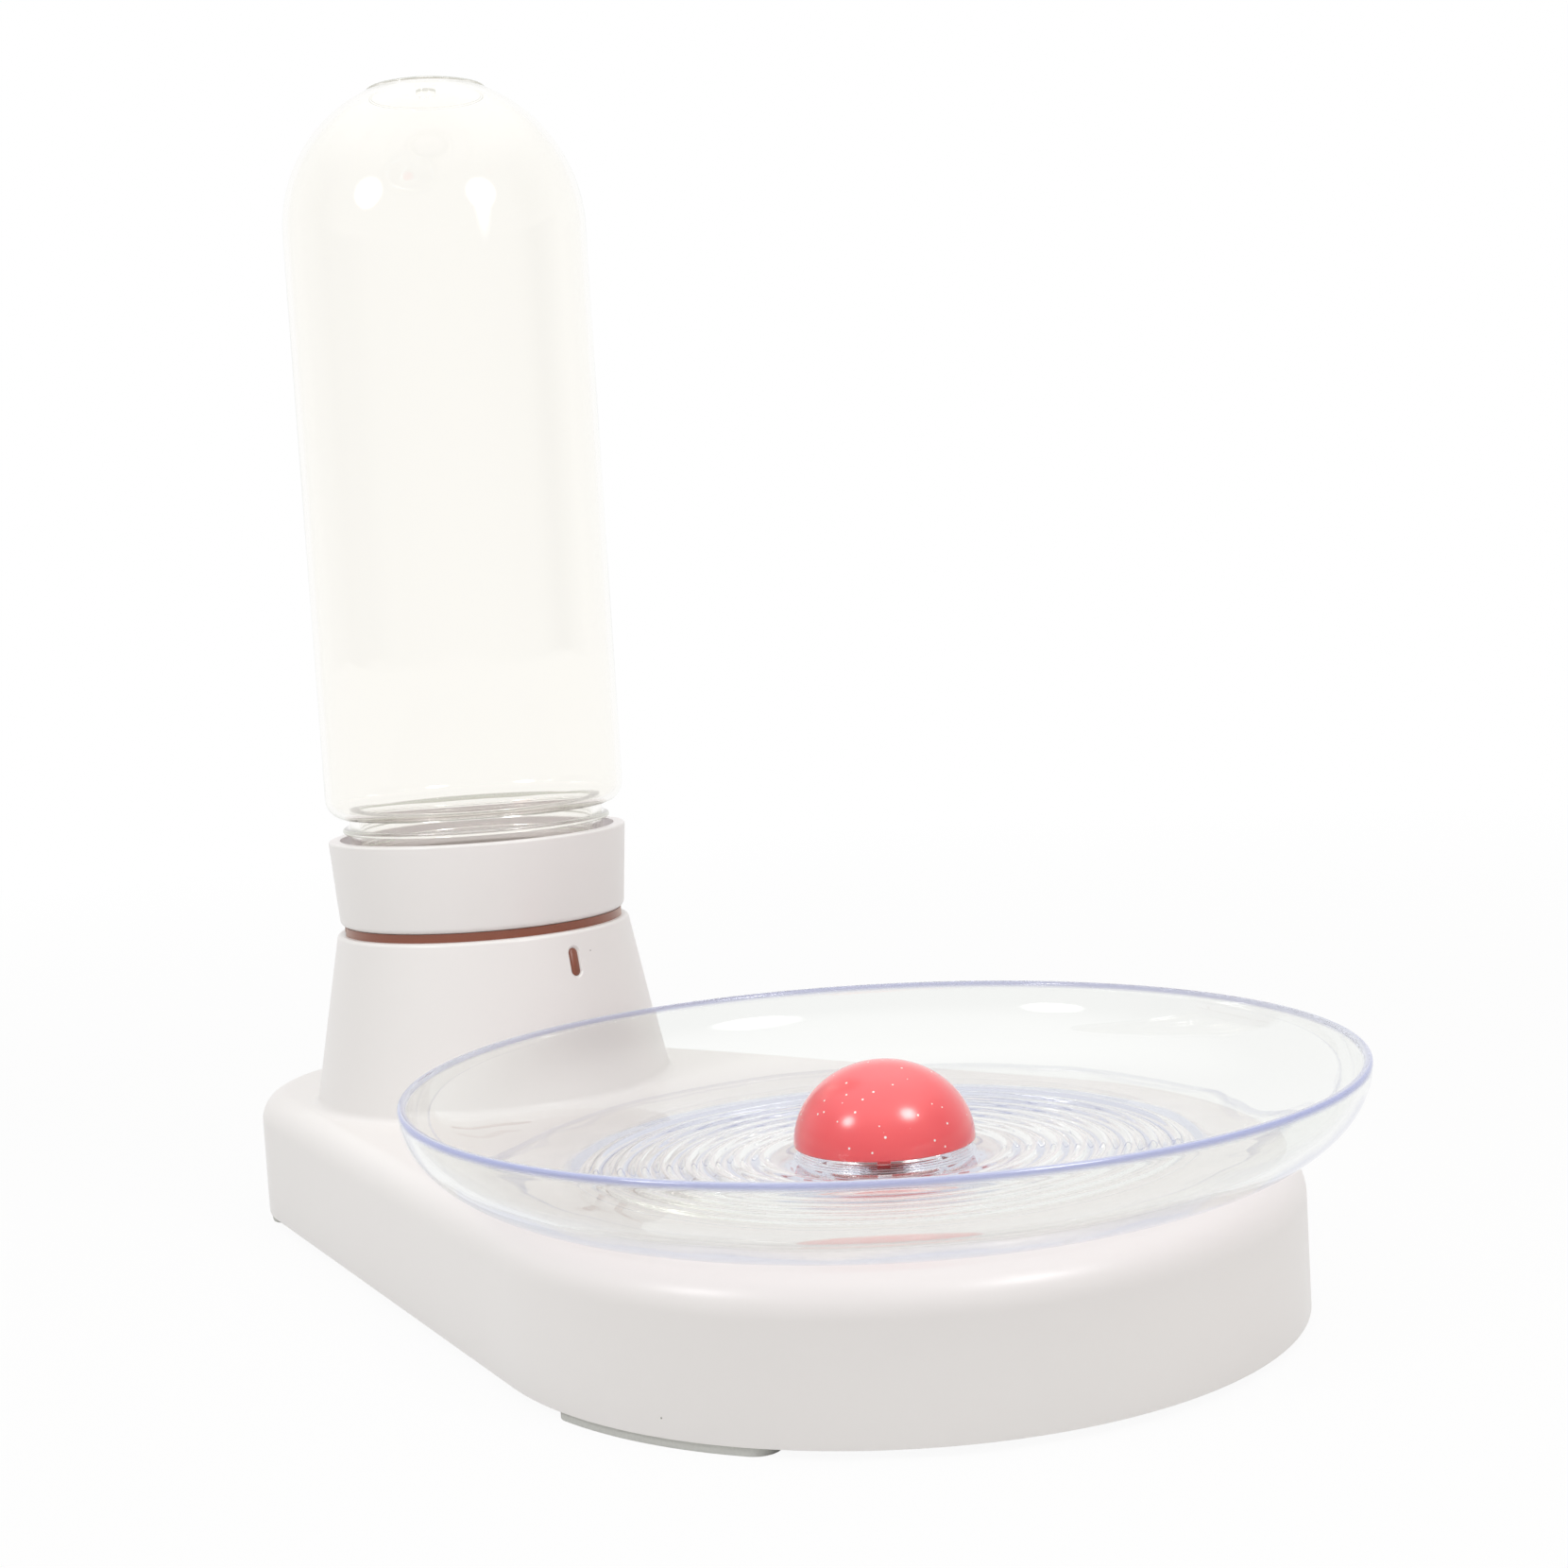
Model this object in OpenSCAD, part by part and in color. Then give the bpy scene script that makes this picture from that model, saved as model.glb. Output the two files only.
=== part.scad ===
// Pet water dispenser: an inverted bottle feeds a shallow ripple bowl through a tower and a base.
// Millimetres, +Z up. The floor is Z = 0, the bowl is to the front (-Y) and the tower to the back (+Y).

/* [Base] */
// Height of the base shell
base_h = 26.5; // [24:0.5:32]
// Plan radius of the round front, centred under the bowl
front_r = 75.7; // [72:0.1:84]
// How far the round back stands out past the foot of the tower in radius
back_margin = 2.4; // [1:0.1:6]
// Distance from the tower axis back to the centre of the round back
back_set = 20.3; // [16:0.1:26]
// Wall thickness of the base shell
shell_wall = 2.4; // [1.8:0.1:3]
// Radius of the rounded top edge
edge_r = 6; // [3:0.5:8]
// Thickness of the bottom cover
cover_t = 2; // [1.6:0.1:3]
// Clearance round the bottom cover
cover_gap = 0.2; // [0.1:0.05:0.4]

/* [Tower] */
// Height of the tower above the base
tower_h = 37; // [34:0.1:46]
// How much wider the tower's foot is than its top, in radius
tower_flare = 7; // [5:0.1:8]
// Thickness of the tower's wall round its mouth
mouth_wall = 2.1; // [1.6:0.1:3]
// Gap between the tower and the rim of the bowl
rim_gap = 1.4; // [1:0.1:6]
// Fillet where the tower meets the base
tower_fillet = 2; // [1:0.1:3]
// Radius on the tower's top edge
tower_edge = 1; // [0.6:0.1:1.4]
// Wall thickness of the liner in the tower mouth
liner_wall = 1.5; // [1.2:0.1:2]
// Depth of the tower mouth down to its ledge
socket_depth = 12.4; // [11.8:0.1:14]
// Thickness of the ledge inside the tower
ledge_t = 2.1; // [1.6:0.1:3]
// Width of the ledge inside the tower
ledge_w = 4.5; // [3:0.1:5]
// Width of the slot in the tower front
slot_w = 1.7; // [1.2:0.1:2.4]
// Height of the slot in the tower front
slot_h = 6; // [4:0.1:7]
// Distance from the tower top down to the slot
slot_drop = 3.4; // [2.6:0.1:4.4]

/* [Bottle] */
// Outer radius of the bottle
bottle_r = 32.75; // [31.8:0.05:33.4]
// Length of the bottle from its shoulder to the end of its dome
bottle_len = 159.2; // [120:0.1:190]
// Wall thickness of the bottle
bottle_wall = 1.2; // [0.8:0.1:2]
// Radius of the shoulder corner
shoulder_r = 4.5; // [3:0.1:6]
// Step from the wall of the bottle in to its neck
neck_step = 4.95; // [4.75:0.05:5.5]
// Wall thickness of the neck
neck_wall = 2.2; // [1.8:0.1:2.6]
// Length of the neck below the shoulder
neck_len = 17.3; // [15.6:0.1:20]
// Radial height of a thread turn
thread_h = 1.6; // [1.2:0.1:1.7]
// Axial width of a thread turn
thread_w = 1.2; // [0.8:0.1:1.4]
// Distance between thread turns
thread_pitch = 4; // [3.6:0.1:4.4]
// Number of thread turns on the bottle
bottle_turns = 4; // [3:1:4]
// Radius of the raised ring on the end of the bottle
end_ring_r = 12.6; // [10:0.1:15]
// Height of the flat cut from the end of the bottle
gate_disc_d = 0.7; // [0.4:0.1:1]
// Profile radius of the raised ring
end_ring = 0.4; // [0.2:0.05:0.6]
// Radius of the gate nub
gate_nub_r = 2.2; // [1.6:0.1:3]

/* [Bottle cap] */
// How far the top of the collar stands inside the wall of the bottle
cap_inset = 0.05; // [0:0.05:0.6]
// How much narrower the bottom of the collar is than its top, in radius
cap_taper = 1.4; // [0.4:0.05:1.7]
// Height of the collar
cap_h = 18.8; // [17.4:0.1:22]
// Gap between the collar and the tower
cap_gap = 1.8; // [1.4:0.1:2.4]
// Room between the neck and the bore of the collar
neck_room = 2.4; // [2.2:0.05:2.9]
// Thickness of the deck across the collar
deck_t = 2.5; // [2:0.1:3]
// Height of the deck's underside above the collar's lower edge
deck_rise = 2.2; // [1.6:0.1:3]
// Thickness of the gasket under the bottle's lip
gasket_t = 1.5; // [1:0.1:2]
// Number of thread turns in the collar
cap_turns = 2; // [2:1:3]
// Step from the bottom of the collar in to the plug
plug_step = 2.9; // [2.7:0.1:3.5]
// Length of the plug that enters the tower, below the deck
plug_len = 13.6; // [12.6:0.1:14.2]
// Wall thickness of the plug
plug_wall = 2; // [1.6:0.1:2.4]
// Radius on the collar's lower edge
cap_edge = 1.5; // [0.8:0.1:1.8]
// Angle that the cap turns through to unlock
twist_angle = 30; // [20:1:40]
// Angle that each locking lug covers
lug_angle = 12; // [8:1:16]
// Height of each locking lug
lug_h = 2.4; // [1.8:0.1:3]
// Height of each lug above the end of the plug
lug_rise = 2; // [1.4:0.1:3]
// Running clearance round the plug
plug_gap = 0.1; // [0.05:0.01:0.3]
// How far the liner's lip reaches over the tower's top
liner_lip = 0.6; // [0.5:0.1:1]
// Clearance round the lugs
lug_gap = 0.4; // [0.2:0.05:0.6]

/* [Valve] */
// Outer radius of the snout
snout_r = 9; // [8.6:0.1:10]
// Wall thickness of the snout
snout_wall = 1.6; // [1.2:0.1:1.8]
// Distance from the underside of the deck to the mouth of the snout
snout_len = 28.4; // [26:0.1:30]
// Thickness of the valve seat
seat_t = 2; // [1.4:0.1:2.6]
// Radius of the hole through the valve seat
seat_hole_r = 4; // [3.4:0.1:4.2]
// Radius of the valve stem
stem_r = 1.5; // [1.2:0.1:1.8]
// Running clearance round the stem
stem_gap = 0.08; // [0.05:0.01:0.1]
// Radius of the valve head
head_r = 5.7; // [5.4:0.1:6.2]
// Thickness of the valve head
head_t = 1.5; // [1:0.1:2]
// Thickness of the valve's sealing ring
seal_t = 1.2; // [0.8:0.1:1.6]
// Gap between the sealing ring and its seat with the valve open
valve_open = 1.3; // [0.8:0.1:2]
// Length of the stem above its guide
stem_top = 3; // [2:0.1:5]
// Length of the stem below the valve seat
stem_tip = 2.2; // [1.4:0.1:3]
// Gap between the stem and the post that lifts it
post_gap = 0.1; // [0.05:0.01:0.3]
// Radius of the post
post_r = 2.4; // [1.8:0.1:3]
// Wire radius of the valve spring
wire_r = 0.45; // [0.3:0.05:0.6]
// Coil radius of the valve spring
coil_r = 4.4; // [3.6:0.1:5]
// Turns of the valve spring
coil_turns = 7; // [5:1:9]
// Thickness of the guide's flange
guide_t = 1.2; // [0.8:0.1:1.6]
// Length of the guide's hub below the deck top
guide_hub = 4; // [3:0.1:6]

/* [Sump] */
// Room between the sump cup and the ledge's inner edge
sump_gap = 1.5; // [0.5:0.1:2.5]
// Wall thickness of the sump cup
sump_wall = 1.6; // [1.2:0.1:2.2]
// Depth of the sump cup
sump_depth = 19.7; // [18:0.1:22]
// Width of the rim on the sump cup
sump_rim = 5; // [3.6:0.1:5.6]
// Thickness of the gasket above the sump cup
sump_gasket_t = 0.8; // [0.5:0.1:1.2]

/* [Water way] */
// Outer radius of the silicone tube
tube_r = 4; // [3.6:0.1:4.4]
// Outer radius of the barbs
barb_r = 2.5; // [2.2:0.1:2.8]
// Bore radius of the barbs
barb_bore = 1.6; // [1.2:0.1:1.8]
// Clearance between a barb and the tube
barb_gap = 0.05; // [0.02:0.01:0.1]
// Bend radius of the tube, on its centre line
bend_r = 8; // [7:0.1:9]
// Height of the tube's level stretch above the cover
tube_lift = 1.8; // [1:0.1:2.4]
// Room between the tube at the sump and the wall of the sump's stand
tube_room = 1.5; // [1:0.1:3]
// Length of each barb
barb_len = 5; // [4:0.1:6]
// Outer radius of the socket under the bowl
outlet_r = 8; // [7.8:0.1:9]
// Wall thickness of that socket
outlet_wall = 1.9; // [1.6:0.1:2]
// Thickness of the seal in that socket
outlet_seal_t = 2.5; // [2:0.1:3]

/* [Bowl] */
// Outer radius of the bowl at its rim
bowl_r = 88.1; // [84:0.1:88.3]
// Height of the bowl
bowl_h = 18.8; // [15:0.1:24]
// Radius at which the wall starts to rise
bowl_floor_r = 61; // [56:0.5:66]
// Thickness of the bowl
bowl_t = 1.6; // [1.2:0.1:2.2]
// Height of the foot ring under the bowl
bowl_foot_h = 0.3; // [0.2:0.1:0.8]
// Number of ripple rings
ripples = 8; // [5:1:9]
// Radius of the innermost ripple ring
ripple_first = 23; // [22:0.5:26]
// Distance between ripple rings
ripple_pitch = 4.5; // [4:0.1:4.7]
// Height of a ripple ring
ripple_h = 0.6; // [0.3:0.1:0.8]
// Profile radius of a ripple ring
ripple_r = 1; // [0.9:0.1:1.1]
// Outer radius of the spigot under the bowl
spigot_r = 4.9; // [4.4:0.1:5.2]
// Bore radius of the spigot
spigot_bore = 3.4; // [2.6:0.1:3.6]
// Gap between the spigot and the floor of its socket
spigot_gap = 0.4; // [0.3:0.1:1]

/* [Dome] */
// Radius of the dome
dome_r = 16.8; // [16:0.1:19]
// Height of the dome above its edge
dome_h = 15; // [10:0.1:16]
// Height of the dome's edge above the bowl floor
dome_lift = 2.2; // [2:0.1:3]
// Wall thickness of the dome
dome_wall = 1.6; // [1.2:0.1:2.2]
// Outer radius of the clear boss at the bowl floor
boss_foot_r = 16.9; // [16.8:0.1:18]
// Outer radius of the clear boss at its top
boss_top_r = 15.5; // [15:0.1:16]
// Bore radius of the clear boss
boss_bore = 13; // [12:0.1:13.6]
// Gap between the boss and the dome's edge
boss_gap = 0.3; // [0.2:0.05:0.6]
// Running clearance of the dome's skirt in the boss
skirt_gap = 0.08; // [0.05:0.01:0.1]

/* [Feet] */
// Thickness of the rubber feet
foot_t = 1.6; // [1:0.1:3]
// Width of the rubber feet
foot_w = 8; // [6:0.1:10]
// Distance from the wall of the base to the feet
foot_inset = 0.5; // [0.3:0.1:1.5]
// Angle that each front foot covers
front_foot_angle = 35; // [20:1:40]
// Angle of the front feet forward of the bowl axis
front_foot_turn = 13.5; // [0:0.5:20]
// Angle that each rear foot covers
rear_foot_angle = 44; // [30:1:60]
// Angle of the rear feet from the line of symmetry
rear_foot_turn = 52; // [40:1:60]

/* [Screws] */
// Radius of the screws' shanks
screw_r = 1.2; // [1:0.1:1.5]
// Radius of the screws' heads
screw_head_r = 2.6; // [2.2:0.1:3]
// Thickness of the screws' heads
screw_head_t = 1.6; // [1.2:0.1:1.8]
// Length of the screws under their heads
screw_len = 12; // [8:1:14]
// Clearance round the screws in their posts
screw_gap = 0.05; // [0.02:0.01:0.1]
// How far the front screws stand in from the base's front and sides
screw_front_inset = 33.7; // [28:0.1:40]
// How far the middle screws stand in from the base's sides
screw_side_inset = 19.7; // [17:0.1:24]
// Distance of the middle screws behind the bowl axis
screw_side_y = 30; // [20:1:40]
// How far the rear screws stand in from the round back's sides
screw_back_inset = 17.5; // [12:0.1:22]
// Distance of the rear screws behind the centre of the round back
screw_back_y = 14; // [8:1:18]

/* [Hidden] */
$fn = 96;
eps = 0.01;

// Radii of the bottle's neck, its cap, the tower round it and the cup below
neck_r = bottle_r - neck_step;
cap_top_r = bottle_r - cap_inset;
cap_foot_r = cap_top_r - cap_taper;
cap_bore_r = neck_r + neck_room;
plug_r = cap_foot_r - plug_step;
liner_bore = plug_r + plug_gap;
socket_r = liner_bore + liner_wall;
liner_lip_r = socket_r + liner_lip;
ledge_r = socket_r - ledge_w;
sump_r = ledge_r - sump_gap;
tower_top_r = socket_r + mouth_wall;
tower_foot_r = tower_top_r + tower_flare;
back_r = tower_foot_r + back_margin;

// Distances from the bowl axis: the tower stands just behind the bowl's rim
tower_rim_r = tower_foot_r - (bowl_h - bowl_t / 2) * tower_flare / tower_h;
tower_span = bowl_r + rim_gap + tower_rim_r;
back_span = tower_span + back_set;

// Places along Y: the middle of the whole object is at Y = 0
bowl_y = (bowl_r - back_span - back_r) / 2;
back_y = bowl_y + back_span;
tower_y = bowl_y + tower_span;

// Heights of the base and the tower
base_z = foot_t;
cover_top_z = base_z + cover_t;
top_z = base_z + base_h;
ceiling_z = top_z - shell_wall;
// Facets of a full circle along the rounded top edge
edge_facets = 24;
tower_z = top_z + tower_h;
ledge_z = tower_z - socket_depth;
tower_lean = atan(tower_flare / tower_h);

// Heights of the bottle cap and the bottle
cap_z = tower_z + cap_gap;
cap_top_z = cap_z + cap_h;
deck_z = cap_z + deck_rise;
deck_top_z = deck_z + deck_t;
lip_z = deck_top_z + gasket_t;
shoulder_z = lip_z + neck_len;
bottle_top_z = shoulder_z + bottle_len;
bottle_dome_z = bottle_top_z - bottle_r;
first_turn_z = lip_z + 2;
cap_lean = atan(cap_taper / cap_h);
cap_top_edge = 0.5;

// Locking lugs: two on the plug, opposite each other
plug_z = deck_z - plug_len;
lug_z = plug_z + lug_rise;
lug_r = socket_r - 0.2;
lug_at = [0, 180];
lug_run = lug_angle + 2 * lug_gap / plug_r * 180 / PI;

// Heights of the valve
snout_bore = snout_r - snout_wall;
snout_z = deck_z - snout_len;
seat_z = snout_z + seat_t;
seal_z = seat_z + valve_open;
head_z = seal_z + seal_t;
spring_z = head_z + head_t;
tip_z = snout_z - stem_tip;
guide_z = deck_top_z - guide_hub;
guide_top_z = deck_top_z + guide_t;
stem_top_z = guide_top_z + stem_top;
guide_r = snout_r + 2;
hub_r = coil_r + wire_r + 0.6;
spring_steps = 14;
spring_sides = 8;
spring_clear = 0.03;

// Heights of the sump
sump_top_z = ledge_z - ledge_t - sump_gasket_t;
sump_z = sump_top_z - sump_depth;
sump_floor_z = sump_z + 2;
sump_rim_t = 1.5;
post_z = tip_z - post_gap;
stand_r = sump_r - 2.5;
stand_wall = 2;
sump_outlet = stand_r - stand_wall - tube_r - tube_room;

// Route of the tube: down from the sump, level under the base, up to the bowl
tube_z = cover_top_z + tube_lift + tube_r;
tube_bore = barb_r + barb_gap;
sump_out_y = tower_y - sump_outlet;
socket_z = tube_z + bend_r + barb_len;
socket_floor_z = socket_z + 1.7;
outlet_bore = outlet_r - outlet_wall;
seal_fit = 0.05;

// Heights of the bowl and the dome
bowl_z = top_z;
bowl_under_z = bowl_z + bowl_foot_h;
bowl_floor_z = bowl_under_z + bowl_t;
bowl_edge_z = bowl_z + bowl_h - bowl_t / 2;
foot_ring_w = 3;
dome_z = bowl_floor_z + dome_lift;
boss_top_z = dome_z - boss_gap;
skirt_r = boss_bore - skirt_gap;
skirt_wall = 1.4;
skirt_z = bowl_floor_z + 0.6;
notches = 8;
notch_w = 2.4;
notch_h = 1;
steps = 14;

// Cover screws: places from the bowl axis and from the centre of the round back
screw_boss_z = cover_top_z + 3;
screw_seat_z = cover_top_z + 1;
post_r_out = 4;
front_x = front_r - screw_front_inset;
side_x = front_r - screw_side_inset;
back_x = back_r - screw_back_inset;
screw_front = [[-front_x, -front_x], [front_x, -front_x], [-side_x, screw_side_y], [side_x, screw_side_y]];
screw_back = [[-back_x, screw_back_y], [back_x, screw_back_y]];
screw_at = concat([for (p = screw_front) p + [0, bowl_y]], [for (p = screw_back) p + [0, back_y]]);

white = [0.90, 0.89, 0.87];
clear = [0.93, 0.96, 0.95, 0.35];
coral = [0.98, 0.46, 0.48];
grey = [0.62, 0.64, 0.60];
brown = [0.54, 0.30, 0.22];
steel = [0.72, 0.73, 0.74];
silicone = [0.88, 0.88, 0.85];

// Part of a ring from r1 to r2, turned through an angle from the X axis
module sector(r1, r2, h, angle) {
    rotate_extrude(angle = angle) translate([r1, 0]) square([r2 - r1, h]);
}

// Half profile of a disc of radius r and height h, with its top edge rounded
module disc_profile(r, h, e) {
    square([r - e, h]);
    square([r, h - e]);
    translate([r - e, h - e]) circle(e, $fn = edge_facets);
}

// Body of the base, drawn in by inset: two round ends and the straight sides that touch both
module plan_solid(inset, h, e) {
    hull() {
        translate([0, bowl_y]) rotate_extrude() disc_profile(front_r - inset, h, e);
        translate([0, back_y]) rotate_extrude() disc_profile(back_r - inset, h, e);
    }
}

// Flat plate of the same plan, from z = 0
module plan_plate(inset, h) {
    hull() {
        translate([0, bowl_y]) cylinder(r = front_r - inset, h = h);
        translate([0, back_y]) cylinder(r = back_r - inset, h = h);
    }
}

// Hose barb that points down from Z = 0
module barb() {
    rotate_extrude() polygon([[barb_bore, 0], [barb_r - 0.3, 0], [barb_r - 0.3, 1.6 - barb_len],
        [barb_r, 1.6 - barb_len], [barb_r - 0.5, -barb_len], [barb_bore, -barb_len]]);
}

// Outer radius of the tower at a height
function tower_r(z) = tower_foot_r - (z - top_z) * tan(tower_lean);

// Outline of the tower, with the fillet at its foot and its rounded top edge
module tower_profile() {
    normal = [cos(tower_lean), sin(tower_lean)];
    foot_z = top_z + tower_fillet;
    foot = [tower_r(foot_z) + tower_fillet / cos(tower_lean), foot_z];
    rim_z = tower_z - tower_edge;
    rim = [tower_r(rim_z) - tower_edge / cos(tower_lean), rim_z];
    difference() {
        polygon([[0, ceiling_z], [foot[0], ceiling_z], [foot[0], top_z], foot - tower_fillet * normal,
            rim + tower_edge * normal, [rim[0], tower_z], [0, tower_z]]);
        translate(foot) circle(tower_fillet);
    }
    translate(rim) circle(tower_edge);
}

// Inside of the tower: the mouth, the ledge and the space for the sump under it
module tower_bore() {
    under_z = ledge_z - ledge_t;
    rotate_extrude() polygon([[0, ceiling_z - eps], [tower_r(ceiling_z) - shell_wall, ceiling_z - eps],
        [tower_r(under_z) - shell_wall, under_z], [ledge_r, under_z], [ledge_r, ledge_z],
        [socket_r, ledge_z], [socket_r, tower_z + eps], [0, tower_z + eps]]);
}

// Upright slot with round ends in the tower's front wall
module tower_slot() {
    low = tower_z - slot_drop - slot_h + slot_w / 2;
    high = tower_z - slot_drop - slot_w / 2;
    rotate([90, 0, 0]) linear_extrude(tower_foot_r) {
        translate([-slot_w / 2, low]) square([slot_w, high - low]);
        for (z = [low, high]) translate([0, z]) circle(slot_w / 2);
    }
}

// Socket under the bowl: the seal sits in it, and the tube grips the barb below it
module outlet_socket() {
    translate([0, 0, socket_z]) cylinder(r = outlet_r, h = top_z - socket_z);
    translate([0, 0, socket_z + eps]) barb();
}

// Base and tower, moulded in one piece and open below
module base_shell() {
    color(white) difference() {
        union() {
            difference() {
                union() {
                    translate([0, 0, base_z]) plan_solid(0, base_h, edge_r);
                    translate([0, tower_y]) rotate_extrude() tower_profile();
                }
                translate([0, 0, base_z - eps])
                    plan_solid(shell_wall, base_h - shell_wall + eps, edge_r - shell_wall);
                translate([0, tower_y]) tower_bore();
                translate([0, tower_y]) tower_slot();
            }
            for (p = screw_at) translate([p[0], p[1], screw_boss_z])
                cylinder(r = post_r_out, h = ceiling_z + eps - screw_boss_z);
            translate([0, bowl_y]) outlet_socket();
        }
        for (p = screw_at) translate([p[0], p[1], screw_boss_z - eps])
            cylinder(r = screw_r + screw_gap, h = screw_seat_z + screw_len + 1 - screw_boss_z);
        translate([0, bowl_y, socket_floor_z]) cylinder(r = outlet_bore, h = top_z + eps - socket_floor_z);
        translate([0, bowl_y, socket_z - eps]) cylinder(r = barb_bore, h = top_z - socket_z);
    }
}

// Bottom cover: a plate inside the shell's rim, the stand for the sump and the screw bosses
module base_cover() {
    color(white) difference() {
        union() {
            translate([0, 0, base_z]) plan_plate(shell_wall + cover_gap, cover_t);
            translate([0, tower_y, cover_top_z - eps]) difference() {
                cylinder(r = stand_r, h = sump_z - cover_top_z + eps);
                translate([0, 0, -eps])
                    cylinder(r = stand_r - stand_wall, h = sump_z - cover_top_z + 3 * eps);
                translate([-tube_r - 1, -sump_r, -eps])
                    cube([2 * tube_r + 2, sump_r, tube_z + tube_r + 1 - cover_top_z]);
            }
            for (p = screw_at) translate([p[0], p[1], cover_top_z - eps])
                cylinder(r = post_r_out + 1, h = screw_boss_z - cover_top_z + eps);
        }
        for (p = screw_at) translate([p[0], p[1], base_z - eps]) {
            cylinder(r = screw_head_r + 0.3, h = screw_seat_z - base_z + eps);
            cylinder(r = screw_r + 0.2, h = screw_boss_z - base_z + 2 * eps);
        }
    }
}

// Six screws that hold the cover, driven up from below
module cover_screws() {
    color(steel) for (p = screw_at) translate([p[0], p[1], screw_seat_z]) {
        translate([0, 0, -eps]) cylinder(r = screw_r, h = screw_len + eps);
        difference() {
            translate([0, 0, -screw_head_t]) cylinder(r = screw_head_r, h = screw_head_t);
            for (a = [0, 90]) rotate([0, 0, a]) translate([-1.4, -0.25, -screw_head_t - eps])
                cube([2.8, 0.5, 0.8]);
        }
    }
}

// Rubber foot under a round part of the base, with round ends
module foot(r, y, middle, angle) {
    inner = r - foot_inset - foot_w;
    centre_r = inner + foot_w / 2;
    ends = (angle - foot_w / centre_r * 180 / PI) / 2;
    color(grey) translate([0, y]) {
        rotate([0, 0, middle - ends]) sector(inner, inner + foot_w, foot_t, 2 * ends);
        for (a = [-ends, ends]) rotate([0, 0, middle + a]) translate([centre_r, 0])
            cylinder(r = foot_w / 2, h = foot_t);
    }
}

module foot_front_right() {
    foot(front_r, bowl_y, -front_foot_turn, front_foot_angle);
}

module foot_front_left() {
    mirror([1, 0, 0]) foot_front_right();
}

module foot_rear_right() {
    foot(back_r, back_y, 90 - rear_foot_turn, rear_foot_angle);
}

module foot_rear_left() {
    mirror([1, 0, 0]) foot_rear_right();
}

// Sleeve in the tower's mouth: its lip carries the collar, and its tracks take the lugs
module socket_liner() {
    track_z = lug_z - lug_gap;
    color(brown) translate([0, tower_y]) difference() {
        rotate_extrude() polygon([[liner_bore, ledge_z], [socket_r, ledge_z], [socket_r, tower_z],
            [liner_lip_r, tower_z], [liner_lip_r, cap_z], [liner_bore, cap_z]]);
        for (a = lug_at) rotate([0, 0, a - twist_angle - lug_run / 2]) translate([0, 0, track_z]) {
            sector(liner_bore - 1, socket_r + 1, lug_h + 2 * lug_gap, twist_angle + lug_run);
            sector(liner_bore - 1, liner_lip_r + 1, cap_z + eps - track_z, lug_run);
        }
    }
}

// Cup under the ledge: the bottle's snout dips into it, and its post lifts the valve
module sump_cup() {
    color(white) translate([0, tower_y]) difference() {
        union() {
            rotate_extrude() {
                difference() {
                    translate([0, sump_z]) square([sump_r, sump_depth]);
                    translate([0, sump_floor_z]) square([sump_r - sump_wall, sump_depth]);
                }
                translate([sump_r - eps, sump_top_z - sump_rim_t]) square([sump_rim + eps, sump_rim_t]);
                polygon([[0, sump_floor_z - eps], [post_r + 2, sump_floor_z - eps],
                    [post_r, sump_floor_z + 2], [post_r, post_z - 0.6], [post_r - 0.6, post_z], [0, post_z]]);
            }
            translate([0, -sump_outlet, sump_z + eps]) barb();
        }
        translate([0, -sump_outlet, sump_z - 1]) cylinder(r = barb_bore, h = sump_floor_z - sump_z + 2);
    }
}

// Flat ring between the sump cup's rim and the ledge
module sump_gasket() {
    color(silicone) translate([0, tower_y, sump_top_z])
        sector(ledge_r + 0.5, sump_r + sump_rim, sump_gasket_t, 360);
}

// Silicone tube: two upright ends, two bends and a level stretch between them
module water_tube() {
    color(silicone) {
        translate([0, sump_out_y, tube_z + bend_r]) tube_length(sump_z - tube_z - bend_r);
        translate([0, bowl_y, tube_z + bend_r]) tube_length(socket_z - tube_z - bend_r);
        translate([0, sump_out_y - bend_r, tube_z]) rotate([90, 0, 0])
            tube_length(sump_out_y - bowl_y - 2 * bend_r);
        translate([0, sump_out_y - bend_r, tube_z + bend_r]) rotate([0, 90, 0]) tube_bend();
        translate([0, bowl_y + bend_r, tube_z + bend_r]) mirror([0, 1, 0]) rotate([0, 90, 0]) tube_bend();
    }
}

// Straight length of the tube
module tube_length(h) {
    sector(tube_bore, tube_r, h, 360);
}

// Quarter bend of the tube
module tube_bend() {
    rotate_extrude(angle = 90) translate([bend_r, 0]) difference() {
        circle(tube_r);
        circle(tube_bore);
    }
}

// Ring that seals the bowl's spigot in the outlet socket
module outlet_seal() {
    color(silicone) translate([0, bowl_y, socket_floor_z])
        sector(spigot_r + seal_fit, outlet_bore - seal_fit, outlet_seal_t, 360);
}

// Quarter ellipse from a radius at the low height out to the high one
function dish_curve(r1, r2, z1, z2) =
    [for (i = [0:steps]) [r1 + (r2 - r1) * sin(90 * i / steps), z2 - (z2 - z1) * cos(90 * i / steps)]];

// Points of a list from the last to the first
function reversed(points) = [for (i = [len(points) - 1:-1:0]) points[i]];

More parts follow.
